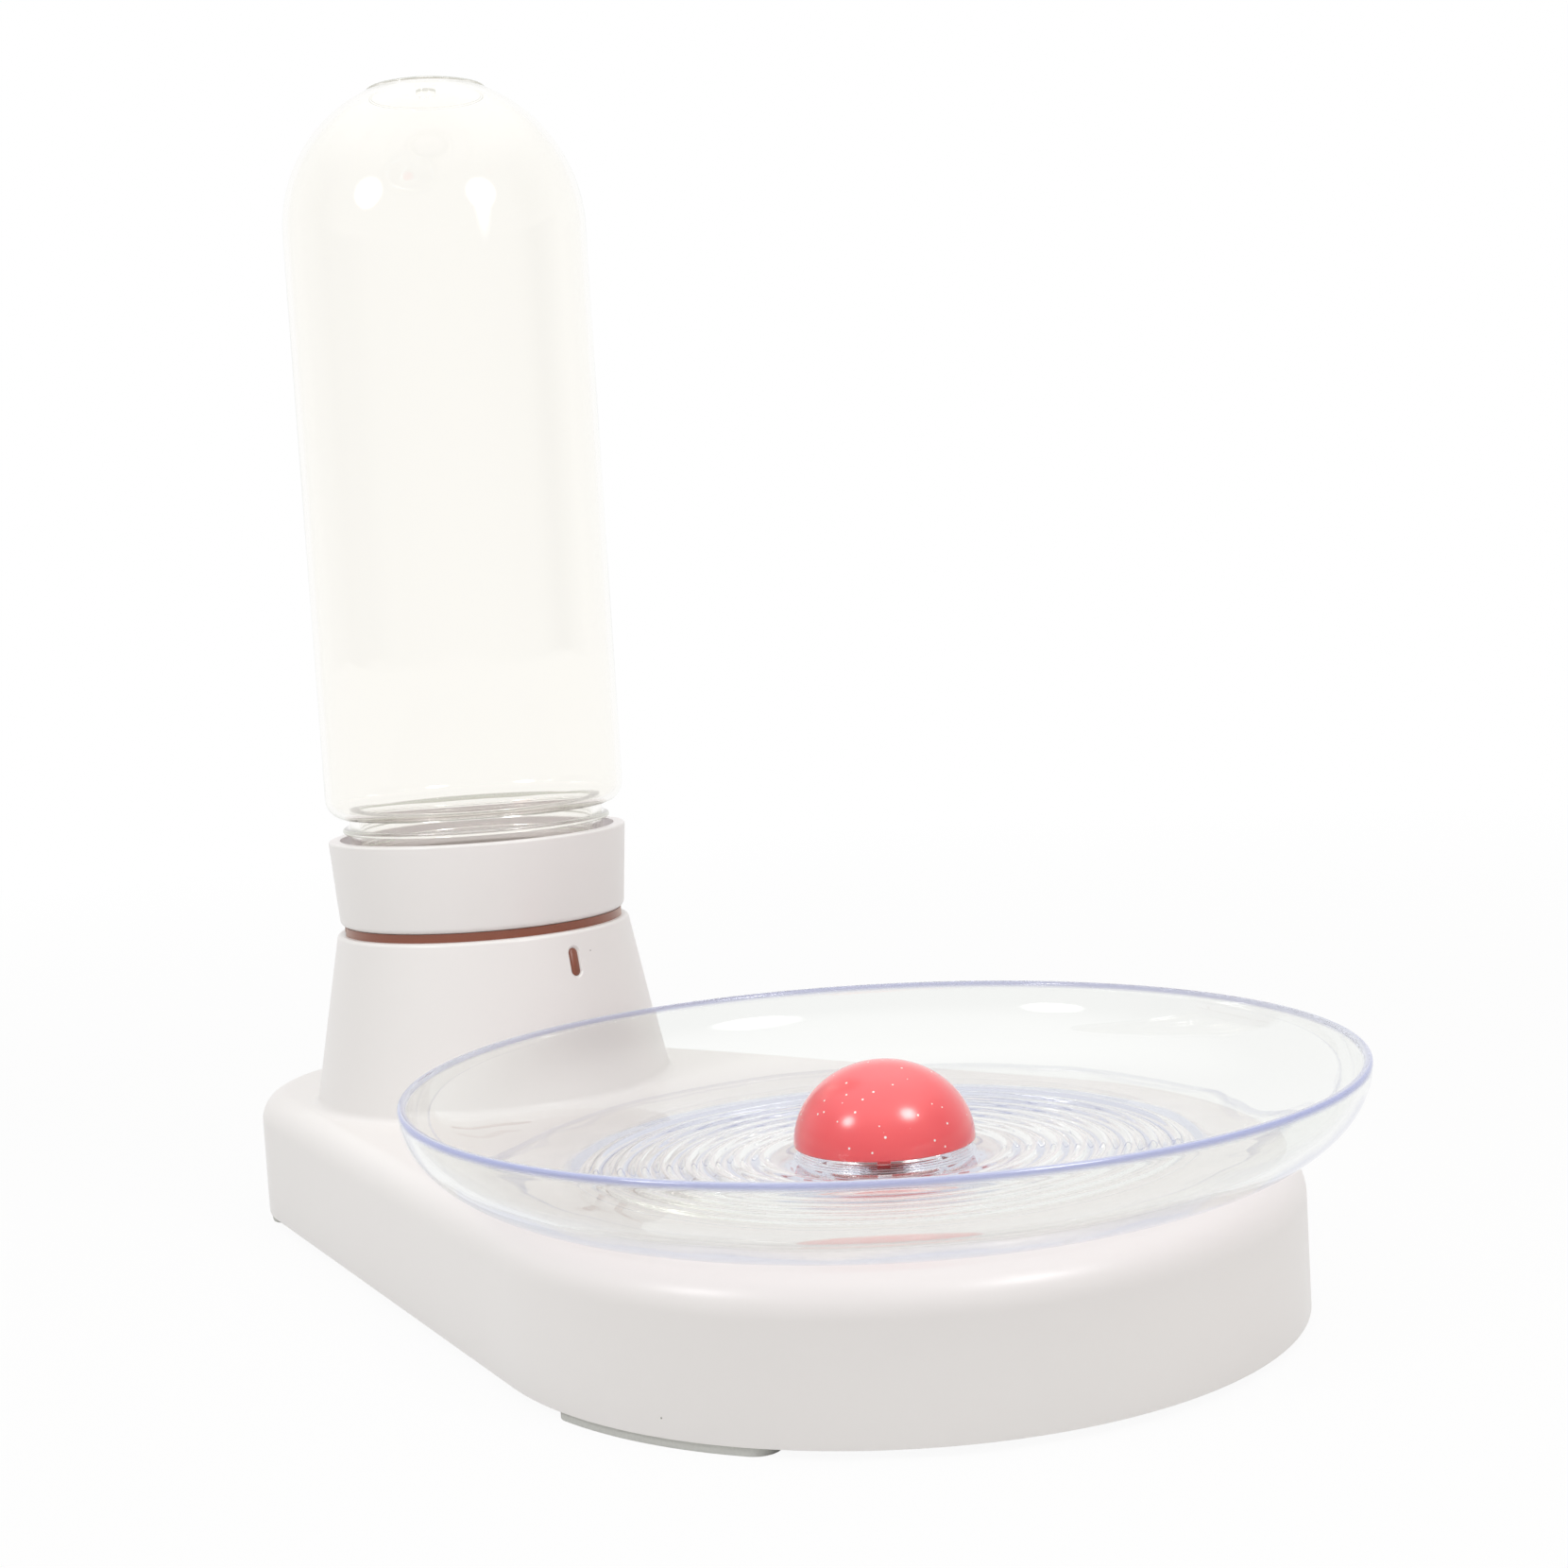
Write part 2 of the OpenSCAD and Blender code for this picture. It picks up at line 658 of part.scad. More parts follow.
// Half profile of the bowl, without its ripples
module bowl_profile() {
    polygon(concat(
        [[spigot_bore, socket_floor_z + spigot_gap], [spigot_r, socket_floor_z + spigot_gap],
         [spigot_r, bowl_under_z], [bowl_floor_r - foot_ring_w, bowl_under_z],
         [bowl_floor_r - foot_ring_w, bowl_z]],
        dish_curve(bowl_floor_r, bowl_r, bowl_z, bowl_edge_z),
        reversed(dish_curve(bowl_floor_r, bowl_r - bowl_t, bowl_floor_z, bowl_edge_z)),
        [[spigot_bore, bowl_floor_z]]));
    translate([bowl_r - bowl_t / 2, bowl_edge_z]) circle(bowl_t / 2);
    polygon([[boss_bore, bowl_floor_z - eps], [boss_foot_r, bowl_floor_z - eps],
        [boss_top_r, boss_top_z], [boss_bore, boss_top_z]]);
}

// Crest of one ripple ring, a slice of a circle that dips just below the bowl's floor
module ripple_profile() {
    intersection() {
        circle(ripple_r);
        translate([-ripple_r, ripple_r - ripple_h - 0.2]) square([2 * ripple_r, ripple_r]);
    }
}

// Clear bowl: ripple rings round the boss that takes the dome, and a spigot below
module bowl() {
    color(clear) translate([0, bowl_y]) difference() {
        rotate_extrude() {
            bowl_profile();
            for (i = [0:ripples - 1])
                translate([ripple_first + i * ripple_pitch, bowl_floor_z + ripple_h - ripple_r])
                    ripple_profile();
        }
        for (i = [0:notches - 1]) rotate([0, 0, i * 360 / notches])
            translate([boss_bore - 1, -notch_w / 2, boss_top_z - notch_h])
                cube([boss_foot_r - boss_bore + 2, notch_w, notch_h + eps]);
    }
}

// Hollow dome over the boss: its skirt turns in the boss, and water leaves through the notches under it
module dome_cap() {
    color(coral) translate([0, bowl_y]) rotate_extrude() {
        difference() {
            polygon(concat(dome_curve(dome_r, dome_h), [[0, dome_z]]));
            polygon(concat(dome_curve(dome_r - dome_wall, dome_h - dome_wall), [[0, dome_z]]));
        }
        translate([skirt_r - skirt_wall, dome_z])
            square([dome_r - dome_wall / 2 - skirt_r + skirt_wall, dome_wall]);
        translate([skirt_r - skirt_wall, skirt_z]) square([skirt_wall, dome_z + dome_wall - skirt_z]);
    }
}

// Quarter ellipse from the dome's edge to its top
function dome_curve(r, h) = [for (i = [0:steps]) [r * cos(90 * i / steps), dome_z + h * sin(90 * i / steps)]];

// Half profile of the bottle cap: collar, deck, plug and snout
module cap_profile() {
    out = [cos(cap_lean), -sin(cap_lean)];
    low_z = cap_z + cap_edge;
    low = [cap_foot_r + cap_edge * (tan(cap_lean) - 1 / cos(cap_lean)), low_z];
    high = [cap_top_r - cap_top_edge * (tan(cap_lean) + 1 / cos(cap_lean)), cap_top_z - cap_top_edge];
    polygon([[seat_hole_r, snout_z], [snout_r, snout_z], [snout_r, deck_z], [plug_r - plug_wall, deck_z],
        [plug_r - plug_wall, plug_z], [plug_r, plug_z], [plug_r, cap_z], [low[0], cap_z],
        low + cap_edge * out, high + cap_top_edge * out, [high[0], cap_top_z], [cap_bore_r, cap_top_z],
        [cap_bore_r, deck_top_z], [snout_bore, deck_top_z], [snout_bore, seat_z], [seat_hole_r, seat_z]]);
    translate(low) circle(cap_edge);
    translate(high) circle(cap_top_edge);
}

// Cap that the bottle screws into: a collar with a plug that locks in the tower and a snout for the valve
module bottle_cap() {
    color(white) translate([0, tower_y]) {
        rotate_extrude() cap_profile();
        for (i = [0:cap_turns - 1]) translate([0, 0, first_turn_z + (i + 0.5) * thread_pitch])
            sector(cap_bore_r - thread_h, cap_bore_r + eps, thread_w, 360);
        for (a = lug_at) translate([0, 0, lug_z]) rotate([0, 0, a - lug_angle / 2])
            sector(plug_r - eps, lug_r, lug_h, lug_angle);
    }
}

// Flat ring on the deck, under the bottle's lip
module cap_gasket() {
    color(silicone) translate([0, tower_y, deck_top_z])
        sector(neck_r - neck_wall - 0.6, cap_bore_r - 0.3, gasket_t, 360);
}

// Three-armed guide that keeps the stem upright in the snout and takes the spring's thrust
module valve_guide() {
    color(white) translate([0, tower_y]) {
        translate([0, 0, guide_z]) sector(stem_r + stem_gap, hub_r, guide_top_z - guide_z, 360);
        translate([0, 0, deck_top_z]) sector(snout_bore, guide_r, guide_t, 360);
        for (a = [30, 150, 270]) translate([0, 0, deck_top_z]) rotate([0, 0, a])
            translate([hub_r - 0.4, -1]) cube([snout_bore + 0.4 - hub_r + 0.4, 2, guide_t]);
    }
}

// Stem with its head disc: the post under its tip holds the valve open
module valve_stem() {
    tip = 0.4;
    color(white) translate([0, tower_y]) rotate_extrude()
        polygon([[0, tip_z], [stem_r - tip, tip_z], [stem_r, tip_z + tip], [stem_r, head_z], [head_r, head_z],
            [head_r, spring_z], [stem_r, spring_z], [stem_r, stem_top_z - tip],
            [stem_r - tip, stem_top_z], [0, stem_top_z]]);
}

// Sealing ring under the stem's head
module valve_seal() {
    color(silicone) translate([0, tower_y, seal_z])
        sector(stem_r, head_r - 0.2, seal_t, 360);
}

// Compression spring between the stem's head and the guide
module valve_spring() {
    rings = coil_turns * spring_steps;
    low = spring_z + wire_r + spring_clear;
    rise = guide_z - spring_clear - wire_r - low;
    points = [for (i = [0:rings], k = [0:spring_sides - 1])
        let (a = 360 * i / spring_steps, b = 360 * k / spring_sides, r = coil_r + wire_r * cos(b))
        [r * cos(a), r * sin(a), low + rise * i / rings + wire_r * sin(b)]];
    sides = [for (i = [0:rings - 1], k = [0:spring_sides - 1])
        let (a = i * spring_sides + k, b = i * spring_sides + (k + 1) % spring_sides)
        [a, a + spring_sides, b + spring_sides, b]];
    ends = [[for (k = [0:spring_sides - 1]) k],
            [for (k = [spring_sides - 1:-1:0]) rings * spring_sides + k]];
    color(steel) translate([0, tower_y]) polyhedron(points, concat(sides, ends), convexity = 10);
}

// Outside of the bottle as a half profile: neck, shoulder, body and round end
module bottle_outside() {
    translate([0, lip_z]) square([neck_r, neck_len + shoulder_r]);
    for (i = [0:bottle_turns - 1]) translate([0, first_turn_z + i * thread_pitch])
        square([neck_r + thread_h, thread_w]);
    translate([0, shoulder_z]) square([bottle_r - shoulder_r, shoulder_r + eps]);
    translate([bottle_r - shoulder_r, shoulder_z + shoulder_r]) circle(shoulder_r);
    translate([0, shoulder_z + shoulder_r]) square([bottle_r, bottle_dome_z - shoulder_z - shoulder_r]);
    intersection() {
        translate([0, bottle_dome_z]) circle(bottle_r);
        translate([0, bottle_dome_z - eps]) square([bottle_r, bottle_r - gate_disc_d]);
    }
    translate([end_ring_r, bottle_dome_z + sqrt(bottle_r * bottle_r - end_ring_r * end_ring_r)])
        circle(end_ring);
}

// Inside of the bottle, with the gate nub left standing in its end
module bottle_inside() {
    inner_r = bottle_r - bottle_wall;
    corner = shoulder_r - bottle_wall;
    nub_z = bottle_top_z - gate_disc_d - 2 * bottle_wall;
    difference() {
        union() {
            translate([0, lip_z - eps]) square([neck_r - neck_wall, neck_len + shoulder_r + 2 * eps]);
            translate([0, shoulder_z + bottle_wall]) square([bottle_r - shoulder_r, corner + eps]);
            translate([bottle_r - shoulder_r, shoulder_z + shoulder_r]) circle(corner);
            translate([0, shoulder_z + shoulder_r])
                square([inner_r, bottle_dome_z - shoulder_z - shoulder_r]);
            intersection() {
                translate([0, bottle_dome_z]) circle(inner_r);
                translate([0, bottle_dome_z - eps]) square([inner_r, inner_r - gate_disc_d]);
            }
        }
        translate([0, nub_z]) square([gate_nub_r, 2 * bottle_wall + gate_disc_d]);
    }
}

// Clear blown bottle, neck down, open at its lip
module bottle() {
    color(clear) translate([0, tower_y]) rotate_extrude() difference() {
        bottle_outside();
        bottle_inside();
    }
}

base_shell();
base_cover();
cover_screws();
foot_front_left();
foot_front_right();
foot_rear_left();
foot_rear_right();
socket_liner();
sump_cup();
sump_gasket();
water_tube();
outlet_seal();
bowl();
dome_cap();
bottle_cap();
cap_gasket();
valve_guide();
valve_spring();
valve_stem();
valve_seal();
bottle();
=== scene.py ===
"""Looks of the pet water dispenser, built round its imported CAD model.

The bottle with its cap, the bowl, the dome and the base shell are modelled here again with fine, smooth surfaces.
Every other piece is the CAD solid with a finish of its own. Sizes in the classes are in millimetres and angles in
degrees, as in the CAD source. The studio's places are in metres and its turns in radians, as in Blender.
"""

import logging
import math
from dataclasses import dataclass
from enum import Enum

import bmesh
import bpy
from bmesh.types import BMEdge, BMesh, BMVert
from mathutils import Matrix, Vector

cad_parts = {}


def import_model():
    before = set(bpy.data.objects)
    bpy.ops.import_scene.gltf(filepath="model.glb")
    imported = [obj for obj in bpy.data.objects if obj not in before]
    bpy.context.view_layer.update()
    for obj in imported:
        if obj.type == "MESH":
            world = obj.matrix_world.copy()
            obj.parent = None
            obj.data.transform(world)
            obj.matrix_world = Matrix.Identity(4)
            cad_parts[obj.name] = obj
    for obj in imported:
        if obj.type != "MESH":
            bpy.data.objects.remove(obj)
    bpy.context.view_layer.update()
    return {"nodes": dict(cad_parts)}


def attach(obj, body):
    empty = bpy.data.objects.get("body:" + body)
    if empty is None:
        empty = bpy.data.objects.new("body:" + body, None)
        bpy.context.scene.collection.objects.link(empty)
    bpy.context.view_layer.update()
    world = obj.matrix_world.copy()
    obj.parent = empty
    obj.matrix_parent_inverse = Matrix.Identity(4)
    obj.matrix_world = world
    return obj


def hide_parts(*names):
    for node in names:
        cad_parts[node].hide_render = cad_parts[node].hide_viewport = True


Piece = bpy.types.Object
Tree = bpy.types.NodeTree
Node = bpy.types.Node
Socket = bpy.types.NodeSocket
Pair = tuple[float, float]
Place = tuple[float, float, float]

MM = 0.001
# How far a tool stands past what it joins or cuts, in millimetres
PAST = 1
# Metres that count as nothing
NOTHING = 1e-7
# Below one turn of a ray and above none
HALF = 0.5
WHITE = (1.0, 1.0, 1.0, 1.0)
log = logging.getLogger("dispenser")


class Body(Enum):
    """Moving bodies of the CAD model that the new pieces ride on."""

    BASE = "base"
    CAP = "cap"
    BOTTLE = "bottle"
    DOME = "dome"


class Slot(Enum):
    """The record's material slots, listed with the new pieces."""

    WHITE = "white_abs"
    BOTTLE = "clear_bottle"
    BOWL = "clear_bowl"
    CORAL = "coral_plastic"
    BROWN = "brown_silicone"


@dataclass(frozen=True)
class Layout:
    """Places and heights that several sub-assemblies share."""

    bowl_y: float = -49.4473
    back_y: float = 96.0473
    tower_y: float = 75.7473
    base_z: float = 1.6
    top_z: float = 28.1
    tower_z: float = 65.1
    lip_z: float = 73.1
    bowl_floor_z: float = 30.0
    dome_z: float = 32.2


LAYOUT = Layout()


def linear(colour: str) -> tuple[float, float, float, float]:
    """Turns an sRGB hex colour into Blender's linear colour.

    Args:
        colour: Six hex digits.

    Returns:
        Red, green, blue and an alpha of one.
    """
    parts = [int(colour[i:i + 2], 16) / 255 for i in (0, 2, 4)]
    red, green, blue = (c / 12.92 if c <= 0.04045 else ((c + 0.055) / 1.055) ** 2.4 for c in parts)
    return red, green, blue, 1.0


def blank(owner: bpy.types.ID) -> Tree:
    """Returns the emptied node tree of a material, lamp or world."""
    owner.use_nodes = True
    owner.node_tree.nodes.clear()
    return owner.node_tree


def add(tree: Tree, kind: str, sockets: dict | None = None, **settings: object) -> Node:
    """Adds a node with its settings, values and links.

    Args:
        tree: Node tree that takes the node.
        kind: Blender's name for the node, without ShaderNode.
        sockets: Input socket to its value, to the output socket that feeds it, or to the node whose first live
            output does.
        settings: Attributes of the node.

    Returns:
        The new node.
    """
    node = tree.nodes.new("ShaderNode" + kind)
    for key, value in settings.items():
        setattr(node, key, value)
    for key, value in (sockets or {}).items():
        if isinstance(value, Node):
            value = next(output for output in value.outputs if output.enabled)
        if isinstance(value, Socket):
            tree.links.new(value, node.inputs[key])
        else:
            node.inputs[key].default_value = value
    return node


def off_axis(tree: Tree, place: Socket, centre: Place) -> Node:
    """Measures how far each spot lies from an upright axis.

    Args:
        tree: Node tree.
        place: Coordinates of the spot.
        centre: Any place on the axis.

    Returns:
        The node that gives the distance.
    """
    off = add(tree, "VectorMath", {0: place, 1: centre}, operation="SUBTRACT")
    flat = add(tree, "VectorMath", {0: off, 1: (1, 1, 0)}, operation="MULTIPLY")
    return add(tree, "VectorMath", {0: flat}, operation="LENGTH")


def sight(tree: Tree, rays: Node, *kinds: str) -> Node:
    """Tells the rays by which the eye sees from those that carry light to a matt surface.

    Args:
        tree: Node tree.
        rays: Its light path node.
        kinds: Kinds of ray to count.

    Returns:
        The node that gives 1 for such a ray as long as it has met no matt surface.
    """
    first = add(tree, "Math", {0: rays.outputs["Diffuse Depth"], 1: HALF}, operation="LESS_THAN")
    seen = rays.outputs[kinds[0]]
    for kind in kinds[1:]:
        seen = add(tree, "Math", {0: seen, 1: rays.outputs[kind]}, operation="MAXIMUM")
    return add(tree, "Math", {0: seen, 1: first}, operation="MULTIPLY")


def per(size: float) -> float:
    """Returns the texture scale that repeats a pattern every so many millimetres."""
    return 1 / (size * MM)


@dataclass(frozen=True)
class Specks:
    """Dots scattered through a plastic: one to a cell of the pattern, in a share of the cells."""

    colour: str
    cell_mm: float
    least_mm: float
    most_mm: float
    share: float

    def scatter(self, tree: Tree, place: Socket, body: Node) -> Node:
        """Lays the dots over a colour.

        Args:
            tree: Node tree.
            place: Object coordinates.
            body: The colour between the dots.

        Returns:
            The node that gives the colour with its dots.
        """
        cells = add(tree, "TexVoronoi", {"Vector": place, "Scale": per(self.cell_mm)})
        pick = add(tree, "SeparateColor", {"Color": cells.outputs["Color"]})
        radius = add(tree, "MapRange", {"Value": pick.outputs["Green"], "To Min": self.least_mm / self.cell_mm / 2,
                                        "To Max": self.most_mm / self.cell_mm / 2})
        near = add(tree, "Math", {0: cells, 1: radius}, operation="LESS_THAN")
        some = add(tree, "Math", {0: pick, 1: self.share}, operation="LESS_THAN")
        dots = add(tree, "Math", {0: near, 1: some}, operation="MULTIPLY")
        return add(tree, "Mix", {0: dots, 6: body, 7: linear(self.colour)}, data_type="RGBA")


@dataclass(frozen=True)
class Finish:
    """What every finish has: a name, a colour and how polished its surface is."""

    name: str
    colour: str
    roughness: float
    ior: float = 1.5
    relief: float = 0.6

    def build(self) -> bpy.types.Material:
        """Returns the finish as a material."""
        material = bpy.data.materials.new(self.name)
        material.cycles.emission_sampling = "NONE"
        tree = blank(material)
        add(tree, "OutputMaterial", self.wire(tree, add(tree, "TexCoord").outputs["Object"]))
        return material

    def wire(self, tree: Tree, place: Socket) -> dict[str, Node]:
        """Builds the nodes of the finish.

        Args:
            tree: The material's node tree.
            place: Object coordinates.

        Returns:
            The material output's sockets and the node that feeds each.
        """
        raise NotImplementedError


@dataclass(frozen=True)
class Moulded(Finish):
    """Injection-moulded plastic: an even tone, a faint moulded grain and a few dark specks in the granulate."""

    shade: str = "EFECEA"
    tone_mm: float = 60
    polish_range: float = 0.04
    grain_mm: float = 0.7
    grain_height: float = 0.006
    specks: Specks | None = None

    def wire(self, tree: Tree, place: Socket) -> dict[str, Node]:
        """Builds the tone, the specks, the grain and the gloss.

        Args:
            tree: The material's node tree.
            place: Object coordinates.

        Returns:
            The material output's sockets and the node that feeds each.
        """
        tone = add(tree, "TexNoise", {"Vector": place, "Scale": per(self.tone_mm), "Detail": 2.0})
        colour = add(tree, "Mix", {0: tone, 6: linear(self.colour), 7: linear(self.shade)}, data_type="RGBA")
        if self.specks:
            colour = self.specks.scatter(tree, place, colour)
        grain = add(tree, "TexNoise", {"Vector": place, "Scale": per(self.grain_mm), "Detail": 2.0})
        polish = add(tree, "MapRange", {"Value": tone, "To Min": self.roughness - self.polish_range,
                                        "To Max": self.roughness + self.polish_range})
        bump = add(tree, "Bump", {"Height": grain, "Strength": self.relief, "Distance": self.grain_height * MM})
        return {"Surface": add(tree, "BsdfPrincipled", {
            "Base Color": colour, "Roughness": polish, "IOR": self.ior, "Normal": bump})}


@dataclass(frozen=True, kw_only=True)
class Clear(Finish):
    """Clear plastic: it bends the light, takes a faint tint on the way through, and its wall waves a little. A ray
    that stays long in its wall ends on a painted glow.
    """

    relief: float = 0.5
    tint: str
    density: float
    # Colour of the painted glow that ends a ray trapped in the wall
    painted_glow: str
    # After how many turns a ray ends on the painted glow
    glow_after_turns: int = 9
    shade: str = "F8F7F8"
    wave_mm: float = 40
    wave_height: float = 0.05

    def tone(self, tree: Tree, place: Socket) -> tuple[object, object]:
        """Returns the surface's colour and how clear it is."""
        return linear(self.colour), 1.0

    def wire(self, tree: Tree, place: Socket) -> dict[str, Node]:
        """Builds the waving wall, lets light through to what stands behind, and tints the wall; a ray that has turned
        many times in it ends on a painted glow.

        Args:
            tree: The material's node tree.
            place: Object coordinates.

        Returns:
            The material output's sockets and the node that feeds each.
        """
        wave = add(tree, "TexNoise", {"Vector": place, "Scale": per(self.wave_mm), "Detail": 1.0})
        bump = add(tree, "Bump", {"Height": wave, "Strength": self.relief, "Distance": self.wave_height * MM})
        colour, clear = self.tone(tree, place)
        wall = add(tree, "BsdfPrincipled", {"Base Color": colour, "Roughness": self.roughness, "IOR": self.ior,
                                            "Transmission Weight": clear, "Normal": bump})
        through = add(tree, "BsdfTransparent", {"Color": linear(self.shade)})
        rays = add(tree, "LightPath").outputs
        lighting = add(tree, "Math", {0: rays["Is Shadow Ray"], 1: rays["Is Diffuse Ray"]}, operation="MAXIMUM")
        lit = add(tree, "MixShader", {0: lighting, 1: wall, 2: through})
        # Painted glow: a ray that has turned this often ends on a fixed glow in the wall's own cast, standing in for
        # the light that it would carry out
        deep = add(tree, "Math", {0: rays["Ray Depth"], 1: self.glow_after_turns + HALF}, operation="GREATER_THAN")
        glow = add(tree, "Emission", {"Color": linear(self.painted_glow), "Strength": 1.0})
        return {"Surface": add(tree, "MixShader", {0: deep, 1: lit, 2: glow}),
                "Volume": add(tree, "VolumeAbsorption", {"Color": linear(self.tint), "Density": self.density})}


@dataclass(frozen=True, kw_only=True)
class ClearPaintedRim(Clear):
    """Clear plastic with painted colour on its rim: its top and outside are violet and less clear than the wall,
    standing in for the tint that light gathers running edge on through the wall.
    """

    # Painted cast: the violet painted on the rim's top and outside
    rim: str = "A9B0DC"
    rim_clear: float = 0.35
    rim_z_mm: Pair = (45.1, 46.3)
    rim_r_mm: Pair = (87.2, 87.9)

    def tone(self, tree: Tree, place: Socket) -> tuple[object, object]:
        """Gives the colour and the clearness, both changing towards the top and the outside of the rim, where the
        violet cast is painted.

        Args:
            tree: The material's node tree.
            place: Object coordinates.

        Returns:
            What feeds the colour, and what feeds the clearness.
        """
        radius = off_axis(tree, place, (0, LAYOUT.bowl_y * MM, 0))
        height = add(tree, "SeparateXYZ", {"Vector": place}).outputs["Z"]
        near = [add(tree, "MapRange", {"Value": value, "From Min": low * MM, "From Max": high * MM},
                    interpolation_type="SMOOTHSTEP")
                for value, (low, high) in ((height, self.rim_z_mm), (radius, self.rim_r_mm))]
        # The painted cast grows towards the top and the outside of the rim
        painted_rim_cast = add(tree, "Math", {0: near[0], 1: near[1]}, operation="MULTIPLY")
        colour = add(tree, "Mix", {0: painted_rim_cast, 6: linear(self.colour), 7: linear(self.rim)}, data_type="RGBA")
        return colour, add(tree, "MapRange", {"Value": painted_rim_cast, "To Min": 1.0, "To Max": self.rim_clear})


@dataclass(frozen=True, kw_only=True)
class Glitter(Finish):
    """Plastic with flakes: bright dots of several sizes under a glossy skin, and light that sinks in a little."""

    shade: str
    specks: Specks
    tone_mm: float = 12
    skin: float = 0.6
    skin_roughness: float = 0.14
    sink: float = 0.15
    sink_reach: Place = (0.004, 0.0015, 0.001)

    def wire(self, tree: Tree, place: Socket) -> dict[str, Node]:
        """Builds the body, its flakes and the glossy skin.

        Args:
            tree: The material's node tree.
            place: Object coordinates.

        Returns:
            The material output's sockets and the node that feeds each.
        """
        tone = add(tree, "TexNoise", {"Vector": place, "Scale": per(self.tone_mm), "Detail": 2.0})
        body = add(tree, "Mix", {0: tone, 6: linear(self.colour), 7: linear(self.shade)}, data_type="RGBA")
        return {"Surface": add(tree, "BsdfPrincipled", {
            "Base Color": self.specks.scatter(tree, place, body), "Roughness": self.roughness, "IOR": self.ior,
            "Coat Weight": self.skin, "Coat Roughness": self.skin_roughness, "Subsurface Weight": self.sink,
            "Subsurface Radius": self.sink_reach, "Subsurface Scale": 1.0})}


@dataclass(frozen=True)
class Rubbery(Finish):
    """Matt rubber or silicone with a fine even grain that carries painted shade, and a pale bloom on some."""

    grain_mm: float = 0.5
    grain_height: float = 0.03
    # How dark the painted shade on the grain makes the colour
    hollow: float = 0.85
    bloom: float = 0.0
    bloom_roughness: float = 0.35
    bloom_colour: str = "F2DCCB"

    def wire(self, tree: Tree, place: Socket) -> dict[str, Node]:
        """Builds the grain, with painted shade that darkens the colour along the grain's noise, and the matt shader.

        Args:
            tree: The material's node tree.
            place: Object coordinates.

        Returns:
            The material output's sockets and the node that feeds each.
        """
        grain = add(tree, "TexNoise", {"Vector": place, "Scale": per(self.grain_mm), "Detail": 3.0})
        colour = linear(self.colour)
        deep = tuple(self.hollow * c for c in colour[:3]) + (1.0,)
        bump = add(tree, "Bump", {"Height": grain, "Strength": self.relief, "Distance": self.grain_height * MM})
        return {"Surface": add(tree, "BsdfPrincipled", {
            "Base Color": add(tree, "Mix", {0: grain, 6: colour, 7: deep}, data_type="RGBA"),
            "IOR": self.ior, "Roughness": self.roughness, "Sheen Weight": self.bloom,
            "Sheen Roughness": self.bloom_roughness, "Sheen Tint": linear(self.bloom_colour), "Normal": bump})}


@dataclass(frozen=True)
class Drawn(Finish):
    """Drawn steel wire and screws: bright metal with an uneven polish."""

    scratch_mm: float = 0.4
    polish_range: float = 0.1

    def wire(self, tree: Tree, place: Socket) -> dict[str, Node]:
        """Builds the metal and its uneven polish.

        Args:
            tree: The material's node tree.
            place: Object coordinates.

        Returns:
            The material output's sockets and the node that feeds each.
        """
        scratch = add(tree, "TexNoise", {"Vector": place, "Scale": per(self.scratch_mm), "Detail": 4.0})
        polish = add(tree, "MapRange", {"Value": scratch, "To Min": self.roughness - self.polish_range,
                                        "To Max": self.roughness + self.polish_range})
        return {"Surface": add(tree, "BsdfPrincipled", {
            "Base Color": linear(self.colour), "Metallic": 1.0, "Roughness": polish})}


# White ABS from a satin mould: soft wide highlights, a barely uneven skin and a few grey specks
WHITE_ABS = Moulded("white_satin_abs", "F0EEEC", 0.31, 1.52, specks=Specks("8A8782", 15, 0.32, 0.32, 0.35))
# Blown PET: thin and bright, a breath of warm grey where the wall is seen edge on, slow waves from blowing, and a
# grey painted glow where rays stay trapped in the wall
CLEAR_PET = Clear("clear_blown_pet", "FEFDFA", 0.0, 1.57, tint="E2D5C2", density=4, painted_glow="CFD1CA")
# Moulded polystyrene: water-clear, with a painted violet cast on its rim for the tint that its edges gather, and a
# pale painted glow where rays stay trapped in the wall
CLEAR_PS = ClearPaintedRim("clear_moulded_polystyrene", "F7F8F6", 0.0, 1.59, tint="A9AFE6", density=2.4,
                       painted_glow="DCDEE8", wave_mm=26, wave_height=0.45)
# Glossy coral plastic with white flakes moulded in, drawn a little coarser than real ones so that they show
CORAL = Glitter("coral_glitter_plastic", "FA6062", 0.24, 1.5, shade="F2525A",
                specks=Specks("FFF4F0", 1.9, 0.38, 0.5, 0.55))
# Grey rubber of the feet: matt, slightly green
GREY_RUBBER = Rubbery("grey_foot_rubber", "DCDDD8", 0.7)
# Brown silicone of the socket's sleeve: warm, with a pale bloom where it turns away; its brown in the gap under the
# collar and in the slot is painted shade of those recesses
BROWN_SHADE_SILICONE = Rubbery("brown_silicone", "8F523D", 0.3, grain_height=0.01, bloom=0.8)
# Pale silicone of the seals and the tube
PALE_SILICONE = Rubbery("pale_silicone", "DAD9D1", 0.45, 1.43, grain_height=0.01)
# Acetal of the valve: whiter and smoother than the ABS
ACETAL = Moulded("white_acetal", "EDEDEA", 0.3, 1.48, shade="E6E6E2", grain_height=0.003)
# Stainless steel of the spring and the screws
STEEL = Drawn("drawn_steel", "C9CACC", 0.3)


